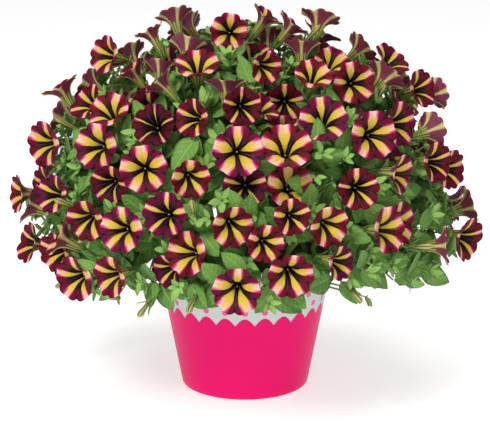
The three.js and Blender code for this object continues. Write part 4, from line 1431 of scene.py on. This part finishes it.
def make_soil(finish):
    """The soil in the pot, level with small humps."""
    wall = wall_radius(SOIL_TOP) - POT_WALL - 0.5
    profile = [(0, 5.2), (wall_radius(5) - POT_WALL - 2.5, 5.2), (wall_radius(8) - POT_WALL - 0.5, 8)]
    profile += [(wall - 0.2, SOIL_TOP - 3)]
    profile += [(wall * share, SOIL_TOP) for share in np.linspace(0.985, 0.04, 26)]
    profile += [(0, SOIL_TOP)]
    soil = lathe("soil", profile, SOIL_SIDES)
    for vertex in soil.data.vertices:
        if vertex.co.z > (SOIL_TOP - 1) * MM:
            vertex.co.z += soil_height(vertex.co.x / MM, vertex.co.y / MM) * MM
    soil.data.materials.append(finish)
    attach(soil, "root")
    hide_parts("soil")


def crumb_kind(index):
    """A rough lump with eight sides and a radius of about a metre, to be scaled down."""
    draw = draws(CRUMB_SEED + 1 + index)
    corners = [(0, 0, 1), (1, 0, 0), (0, 1, 0), (-1, 0, 0), (0, -1, 0), (0, 0, -1)]
    points = [[part * 1000 * draw(0.7, 1.1) for part in corner] for corner in corners]
    faces = [(0, 1, 2), (0, 2, 3), (0, 3, 4), (0, 4, 1), (5, 2, 1), (5, 3, 2), (5, 4, 3), (5, 1, 4)]
    return new_piece(f"crumb kind {index}", points, faces)


def make_crumbs(finish):
    """Loose crumbs over the soil."""
    draw = draws(CRUMB_SEED)
    points, turns, sizes, kinds = [], [], [], []
    for index in range(CRUMB_COUNT):
        out = CRUMB_REACH * math.sqrt(draw())
        turn = draw(0, 2 * math.pi)
        x, y = out * math.cos(turn), out * math.sin(turn)
        points.append((x, y, SOIL_TOP + soil_height(x, y) + 0.4))
        turns.append((draw(0, 6.28), draw(0, 6.28), draw(0, 6.28)))
        size = draw(0.7, 2.4) * MM
        sizes.append((size, size * draw(0.6, 1), size * draw(0.5, 0.9)))
        kinds.append(index % 3)
    place_kinds("soil_crumbs", points, kinds, turns, sizes, {}, crumb_kind, 3, finish, "soil")


# Plant


def place_kinds(name, points, kinds, turns, sizes, marks, make_kind, kind_count, finish, slot, replaced=()):
    """One piece that holds a copy of a kind of shape at each point, and the marks its finish reads."""
    kind_pieces = [make_kind(index) for index in range(kind_count)]
    marks = {title: np.asarray(values, float) for title, values in marks.items()}
    piece = new_piece(name, points, marks={
        "turn": np.asarray(turns, float), "size": np.asarray(sizes, float),
        "kind": np.asarray(kinds, int), **marks,
    })
    tree = scatter_tree(f"{name} copies", kind_count)
    inputs = {f"Kind {index}": kind_piece for index, kind_piece in enumerate(kind_pieces)}
    run_tree(piece, tree, {**inputs, "Finish": finish})
    for kind_piece in kind_pieces:
        bpy.data.objects.remove(kind_piece)
    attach(piece, "root")
    if replaced:
        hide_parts(*replaced)
    return piece


def make_stalks(name, runs, sides, finish):
    """runs holds lists of (point, radius)."""
    points, edges, thick = [], [], []
    for run in runs:
        for index, (point, radius) in enumerate(run):
            if index:
                edges.append((len(points) - 1, len(points)))
            points.append(point)
            thick.append(radius * MM)
    piece = new_piece(name, points, edges=edges, marks={"thick": np.asarray(thick, float)})
    run_tree(piece, tube_tree(), {"Sides": sides, "Finish": finish})
    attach(piece, "root")
    return piece


def smooth_run(points, steps):
    """A smooth line through points, with as many steps on each part."""
    points = [np.asarray(point, float) for point in points]
    ends = [2 * points[0] - points[1], *points, 2 * points[-1] - points[-2]]
    line = [points[0]]
    for before, start, end, after in zip(ends, ends[1:], ends[2:], ends[3:]):
        for step in range(1, steps + 1):
            share = step / steps
            line.append(0.5 * (
                2 * start + (end - before) * share + (2 * before - 5 * start + 4 * end - after) * share**2
                + (3 * start - before - 3 * end + after) * share**3
            ))
    return line


def make_blooms(finish):
    """The blooms, in two pieces so that neither has too many faces."""
    draw = draws(MARK_SEED)
    patterns = []
    for index, bloom in enumerate(BLOOMS):
        pattern = (draw(0.06, 0.22), draw() ** 1.6, draw(0.2, 0.9))
        if index < len(FRONT_PATTERNS):
            pattern = FRONT_PATTERNS[index]
        patterns.append((*pattern, draw()))
    for half in (0, 1):
        rows = {"points": [], "kinds": [], "turns": [], "sizes": []}
        marks = {"wide": [], "hue": [], "light": [], "seed": []}
        for number, spray in enumerate(SPRAYS):
            if number % 2 != half:
                continue
            for bloom in spray.blooms:
                index = BLOOMS.index(bloom)
                scale = bloom.radius / BLOOM_RADIUS
                rows["points"].append(bloom.place)
                rows["kinds"].append(index % BLOOM_KINDS)
                rows["turns"].append(euler_of(bloom.level, bloom.upright, bloom.facing))
                rows["sizes"].append((scale, scale, 1.0))
                for title, value in zip(("wide", "hue", "light", "seed"), patterns[index]):
                    marks[title].append(value)
        replaced = [f"bloom_spray_{number:02d}" for number in range(1 + half, SPRAY_COUNT + 1, 2)]
        place_kinds(f"blooms_{half + 1}", **rows, marks=marks, make_kind=bloom_kind, kind_count=BLOOM_KINDS,
                    finish=finish, slot="petals", replaced=replaced)


def sepal_ring(index):
    """Five narrow sepals that cup a tube's foot, facing up, with their tips open by different amounts."""
    draw = draws(BLOOM_SEED + 50 + index)
    points, faces, corners = [[0, 0, -1.0]], [], []
    for sepal in range(PETALS):
        turn = 2 * math.pi * (sepal + draw(-0.08, 0.08)) / PETALS
        length, open_by = draw(14, 18), draw(0.25, 0.55)
        rows = []
        for share, half in ((0.05, 1.0), (0.35, 1.5), (0.7, 1.5), (0.9, 0.9), (1.0, 0.0)):
            out = 2.6 + length * math.sin(open_by * share) * share
            height = length * share * math.cos(open_by * share)
            ring = []
            for across, lift in ((-1, 0), (0, 0.35), (1, 0), (0, -0.35)):
                if half == 0 and ring:
                    break
                wide = across * half
                point = (out + lift, wide, height)
                ring.append(len(points))
                points.append([point[0] * math.cos(turn) - point[1] * math.sin(turn),
                               point[0] * math.sin(turn) + point[1] * math.cos(turn), point[2]])
            rows.append((share, ring))
        for (low_share, low), (high_share, high) in zip(rows, rows[1:]):
            for side in range(4):
                after = (side + 1) % 4
                if len(high) == 1:
                    faces.append((low[side], high[0], low[after]))
                    corners += [(low_share, 0.2), (high_share, 0.2), (low_share, 0.2)]
                else:
                    faces.append((low[side], high[side], high[after], low[after]))
                    corners += [(low_share, 0.2), (high_share, 0.2), (high_share, 0.2), (low_share, 0.2)]
        foot = rows[0][1]
        for side in range(4):
            faces.append((0, foot[side], foot[(side + 1) % 4]))
            corners += [(0, 0), (0.05, 0.2), (0.05, 0.2)]
    piece = new_piece(f"sepal ring {index}", points, faces)
    paint_uv(piece, corners)
    return piece


def make_sepals(finish):
    """Five sepals round the foot of each bloom and each bud."""
    draw = draws(MARK_SEED + 1)
    points, turns, sizes, tints = [], [], [], []
    feet = [(bloom.foot, bloom.level, bloom.upright, bloom.facing) for bloom in BLOOMS]
    for spray in SPRAYS:
        for bud in spray.buds:
            level, upright = cross_axes(bud.pointing)
            feet.append((bud.foot, level, upright, bud.pointing))
    for foot, level, upright, facing in feet:
        points.append(foot - facing * 0.5)
        turns.append(euler_of(level, upright, facing))
        sizes.append((1.0, 1.0, draw(0.85, 1.1)))
        tints.append(draw(0.2, 0.7))
    kinds = [index % 3 for index in range(len(points))]
    place_kinds("sepals", points, kinds, turns, sizes, {"tint": tints}, sepal_ring, 3, finish, "leaves")


def stigma_kind(index):
    """A small knob on a short style, in a bloom's throat."""
    profile = [(0, -7), (0.4, -7), (0.4, -0.9), (0.8, -0.5), (1.0, 0), (0.8, 0.5), (0, 0.7)]
    return lathe(f"stigma kind {index}", profile, 8)


def make_stigmas(finish):
    """A stigma deep in each bloom's throat."""
    points = [bloom.place - bloom.facing * STIGMA_DEPTH for bloom in BLOOMS]
    turns = [euler_of(bloom.level, bloom.upright, bloom.facing) for bloom in BLOOMS]
    sizes = [(1.0, 1.0, 1.0)] * len(points)
    place_kinds("stigmas", points, [0] * len(points), turns, sizes, {}, stigma_kind, 1, finish, "petals")


def bud_kind(index):
    """A slender furled bud of length 1000, facing up, with five soft ridges that twist."""
    sides = 10
    rows = [(0.0, 2.0), (0.2, 2.0), (0.45, 2.3), (0.65, 3.1), (0.8, 3.4), (0.9, 2.8), (0.97, 1.4)]
    points = [[0, 0, -20]]
    for share, radius in rows:
        for side in range(sides):
            turn = 2 * math.pi * side / sides + share * 1.4
            ridge = 1 + 0.12 * share * (1 if side % 2 else -1)
            points.append([radius * ridge * math.cos(turn), radius * ridge * math.sin(turn), share * 1000])
    points.append([0, 0, 1000])
    shares = [0] + [share for share, radius in rows] + [1]
    faces, corners = [], []
    for side in range(sides):
        after = (side + 1) % sides
        left, right = side / 2, (side + 1) / 2
        faces.append((0, 1 + after, 1 + side))
        corners += [(left, 0), (right, 0), (left, 0)]
        for row in range(len(rows) - 1):
            low, high = 1 + row * sides, 1 + (row + 1) * sides
            faces.append((low + side, low + after, high + after, high + side))
            near, far = shares[row + 1], shares[row + 2]
            corners += [(left, near), (right, near), (right, far), (left, far)]
        last = 1 + (len(rows) - 1) * sides
        faces.append((last + side, last + after, len(points) - 1))
        corners += [(left, shares[-2]), (right, shares[-2]), (left, 1)]
    piece = new_piece(f"bud kind {index}", points, faces)
    paint_uv(piece, corners)
    return piece


def make_buds(finish):
    """The furled buds."""
    draw = draws(MARK_SEED + 2)
    points, turns, sizes, seeds = [], [], [], []
    for spray in SPRAYS:
        for bud in spray.buds:
            level, upright = cross_axes(bud.pointing)
            points.append(bud.foot)
            turns.append(euler_of(level, upright, bud.pointing))
            sizes.append((1.0, 1.0, bud.length * MM))
            seeds.append(draw())
    kinds = [0] * len(points)
    place_kinds("buds", points, kinds, turns, sizes, {"seed": seeds}, bud_kind, 1, finish, "petals")


class Twig:
    """A side shoot that the looks add: its line, the way outward from its stem, and its leaves."""

    def __init__(self, start, end, outward):
        self.start = start
        self.end = end
        self.outward = outward
        self.across, self.over = cross_axes(unit(end - start))
        self.leaves = []

    def away(self, spin):
        """A direction square to the shoot, turned by so many radians round it."""
        return self.across * math.cos(spin) + self.over * math.sin(spin)


def leaf_from(start, base, axis, outward, length, width, droop):
    """A leaf whose blade faces outward as far as the way it points allows."""
    axis = unit(axis)
    face = unit(outward - axis * float(outward @ axis))
    return Leaf(start, base, axis, face, length, width, droop)


def blade_is_free(leaf, spray, others):
    """Like the test for large leaves, with fewer points, and against the leaves of the same stem only."""
    points = leaf.at(FEW_SHARES, FEW_ACROSS)
    if np.any(points[:, 2] < FRINGE_BOTTOM) or hides_band(points, PARTING_BOTTOM).any():
        return False
    if not is_free(points, 0.5, spray):
        return False
    middle = leaf.at(0.5, 0)
    for other in others:
        if length_of(other.at(0.5, 0) - middle) > (leaf.length + other.length) * 0.6:
            continue
        if np.any(on_leaf(points, other, 1.2)):
            return False
    return True


def find_twig(spray, index, draw):
    """A side shoot at the first free place that the draws give, or None."""
    level, upright = cross_axes(spray.axis)
    for attempt in range(TWIG_TRIES):
        turn = math.radians(LEAF_TURN * index + draw(-50, 50))
        lean = math.tan(math.radians(draw(3, 27)))
        leaning = level * (math.cos(turn) * lean) + upright * (math.sin(turn) * lean)
        outward = unit(spray.axis + leaning)
        start = MOUND_CENTRE + spray.axis * draw(spray.bend + 4, STEM_END - 6)
        end = place_in_mound(outward, draw(0.86, 0.97))
        if end[2] < FRINGE_BOTTOM + 10 or hides_band(end, PARTING_BOTTOM + 12).any():
            continue
        if is_run_free(start, end, 1.0, spray, 6):
            return Twig(start, end, outward)
    return None


def leaf_twig(twig, spray, leaves, draw):
    """Leaves along a side shoot, each at the first free turn that the draws give."""
    for number in range(LEAVES_PER_TWIG):
        share = 0.38 + 0.6 * (number + 0.5) / LEAVES_PER_TWIG
        base = twig.start + (twig.end - twig.start) * share
        length = (SMALL_LENGTH - SMALL_TAPER * share) * draw(*SMALL_SIZES)
        for attempt in range(BLADE_TRIES):
            away = twig.away(math.radians(LEAF_TURN * number + draw(-40, 40)))
            axis = away + twig.outward * draw(0.1, 0.9) - UP * 0.12
            width = length * draw(*SMALL_BREADTHS)
            droop = draw(*LEAF_DROOPS)
            leaf = leaf_from(base, base + away * 5, axis, twig.outward, length, width, droop)
            if blade_is_free(leaf, spray, leaves):
                leaves.append(leaf)
                twig.leaves.append(leaf)
                break


def tip_twig(twig, spray, draw):
    """A ring of small young leaves at a side shoot's tip."""
    first = draw(0, 360)
    for number in range(TIP_LEAVES):
        away = twig.away(math.radians(first + 360 * number / TIP_LEAVES))
        length = draw(*TIP_LENGTHS)
        axis = away + twig.outward * draw(0.5, 1.2)
        width = length * draw(*TIP_BREADTHS)
        droop = draw(*TIP_DROOPS)
        leaf = leaf_from(twig.end, twig.end + away * 0.8, axis, twig.outward, length, width, droop)
        if blade_is_free(leaf, spray, []):
            leaf.young = True
            twig.leaves.append(leaf)


def grow_twigs():
    """More leaves between the blooms, on side shoots of each stem."""
    draw = draws(TWIG_SEED)
    twigs = []
    for spray in SPRAYS:
        leaves = list(spray.leaves)
        for index in range(TWIGS_PER_STEM):
            twig = find_twig(spray, index, draw)
            if not twig:
                continue
            leaf_twig(twig, spray, leaves, draw)
            tip_twig(twig, spray, draw)
            if len(twig.leaves) >= TWIG_FEWEST:
                twigs.append(twig)
    return twigs


def make_leaves(name, leaves, finish, seed, make_kind, replaced=()):
    """Blades with the tint of their age and height."""
    draw = draws(seed)
    points, kinds, turns, sizes, tints = [], [], [], [], []
    for leaf in leaves:
        points.append(leaf.base)
        kinds.append(min(LEAF_KINDS - 1, max(0, int(leaf.droop / leaf.width / CURL_STEP))))
        turns.append(euler_of(-leaf.side, leaf.axis, leaf.face))
        sizes.append((leaf.width * MM, leaf.length * MM, leaf.width * MM))
        height = float(unit(leaf.base - MOUND_CENTRE)[2])
        tints.append(0.75 + draw(0, 0.25) if leaf.young else draw(0.05, 0.6) + 0.1 * height)
    place_kinds(name, points, kinds, turns, sizes, {"tint": tints}, make_kind, LEAF_KINDS, finish, "leaves",
                replaced)


def tapered(start, end, share, radii):
    """A straight stalk with three radii: at its start, at a share of its way, and at its end."""
    return list(zip((start, start * (1 - share) + end * share, end), radii))


def make_plant():
    """Leaves, stems, stalks, blooms and buds."""
    mottle, streaks = mottle_group(), streak_group()
    leaf_finish, stem_finish = leaf_material(mottle), stem_material(mottle)
    twigs = grow_twigs()
    large = [leaf for spray in SPRAYS for leaf in spray.leaves]
    small = [leaf for twig in twigs for leaf in twig.leaves]
    replaced = [f"leafy_stem_{number:02d}" for number in range(1, SPRAY_COUNT + 1)]
    make_leaves("large_leaves", large, leaf_finish, MARK_SEED + 3, large_leaf_kind, replaced)
    for part in range(SMALL_LEAF_PIECES):
        share = small[part::SMALL_LEAF_PIECES]
        make_leaves(f"small_leaves_{part + 1}", share, leaf_finish, MARK_SEED + 4 + part, leaf_kind)

    stems, stalks = [], []
    for spray in SPRAYS:
        hub_end = HUB_START + HUB_STEP * len(spray.blooms)
        line = smooth_run(stem_path(spray)[:-1], 5)
        line += [MOUND_CENTRE + spray.axis * reach for reach in (STEM_END, hub_end)]
        stems.append([(point, STEM_RADIUS) for point in line[:-1]] + [(line[-1], HUB_TIP_RADIUS)])
        for leaf in spray.leaves:
            stalks.append(tapered(leaf.start, leaf.base, 0.5, LEAF_STALK))
        for bud in spray.buds:
            stalks.append(list(zip((bud.start, bud.foot), BUD_STALK)))
    for bloom in BLOOMS:
        cup = bloom.foot + bloom.facing
        stalks.append([(bloom.fork, STALK_RADIUS), (bloom.foot, STALK_RADIUS * 0.85), (cup, 2.0)])
    for twig in twigs:
        stalks.append(tapered(twig.start, twig.end, 0.6, TWIG_STALK))
        for leaf in twig.leaves:
            if not leaf.young:
                stalks.append(list(zip((leaf.start, leaf.base), SMALL_STALK)))
    make_stalks("main_stems", stems, 12, stem_finish)
    make_stalks("stalks", stalks, 6, stem_finish)

    make_blooms(petal_material(streaks))
    make_sepals(leaf_finish)
    make_stigmas(stigma_material())
    make_buds(bud_material(streaks))


# Setting


def add_light(name, place, target, size, power, tint):
    """A round soft light that points at a target."""
    lamp = bpy.data.lights.new(name, "AREA")
    lamp.shape = "DISK"
    lamp.size = size
    lamp.energy = power
    lamp.color = tint
    piece = bpy.data.objects.new(name, lamp)
    bpy.context.scene.collection.objects.link(piece)
    piece.location = place
    piece.rotation_euler = (Vector(target) - Vector(place)).to_track_quat("-Z", "Y").to_euler()


def set_the_stage():
    """A pale floor, soft studio lights and the camera."""
    bpy.ops.mesh.primitive_plane_add(size=FLOOR_SIZE)
    floor = bpy.context.object
    floor.name = "floor"
    material, _, shader = new_material("pale floor")
    shader.inputs["Base Color"].default_value = FLOOR_WHITE
    shader.inputs["Roughness"].default_value = 0.9
    shader.inputs["Emission Color"].default_value = ROOM_WHITE
    shader.inputs["Emission Strength"].default_value = FLOOR_GLOW
    floor.data.materials.append(material)

    world = bpy.data.worlds.new("pale room")
    world.use_nodes = True
    world.node_tree.nodes["Background"].inputs["Color"].default_value = ROOM_WHITE
    world.node_tree.nodes["Background"].inputs["Strength"].default_value = ROOM_LIGHT
    bpy.context.scene.world = world
    bpy.context.scene.view_settings.view_transform = "Standard"
    for name, place, size, power, tint in LIGHTS:
        add_light(name, place, LIGHT_TARGET, size, power, tint)

    camera = bpy.data.cameras.new("camera")
    camera.sensor_width = SENSOR_WIDTH
    camera.lens = SENSOR_WIDTH * CAMERA_FOCUS / PICTURE_WIDTH
    eye = bpy.data.objects.new("camera", camera)
    bpy.context.scene.collection.objects.link(eye)
    eye.location = CAMERA_PLACE
    eye.rotation_euler = (Vector(CAMERA_TARGET) - Vector(CAMERA_PLACE)).to_track_quat("-Z", "Y").to_euler()
    bpy.context.scene.camera = eye


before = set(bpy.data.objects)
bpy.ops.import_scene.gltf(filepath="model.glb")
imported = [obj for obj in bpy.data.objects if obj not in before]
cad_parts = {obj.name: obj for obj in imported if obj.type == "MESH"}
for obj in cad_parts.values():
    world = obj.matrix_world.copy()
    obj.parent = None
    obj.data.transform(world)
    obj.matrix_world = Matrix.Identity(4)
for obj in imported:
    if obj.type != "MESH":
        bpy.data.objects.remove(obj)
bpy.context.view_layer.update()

SPRAYS = plan_sprays()
BLOOMS = grow_blooms()
THICKET = Thicket(BLOOMS)
grow_leaves()

make_pot()
soil_finish = soil_material()
make_soil(soil_finish)
make_crumbs(soil_finish)
make_plant()
set_the_stage()
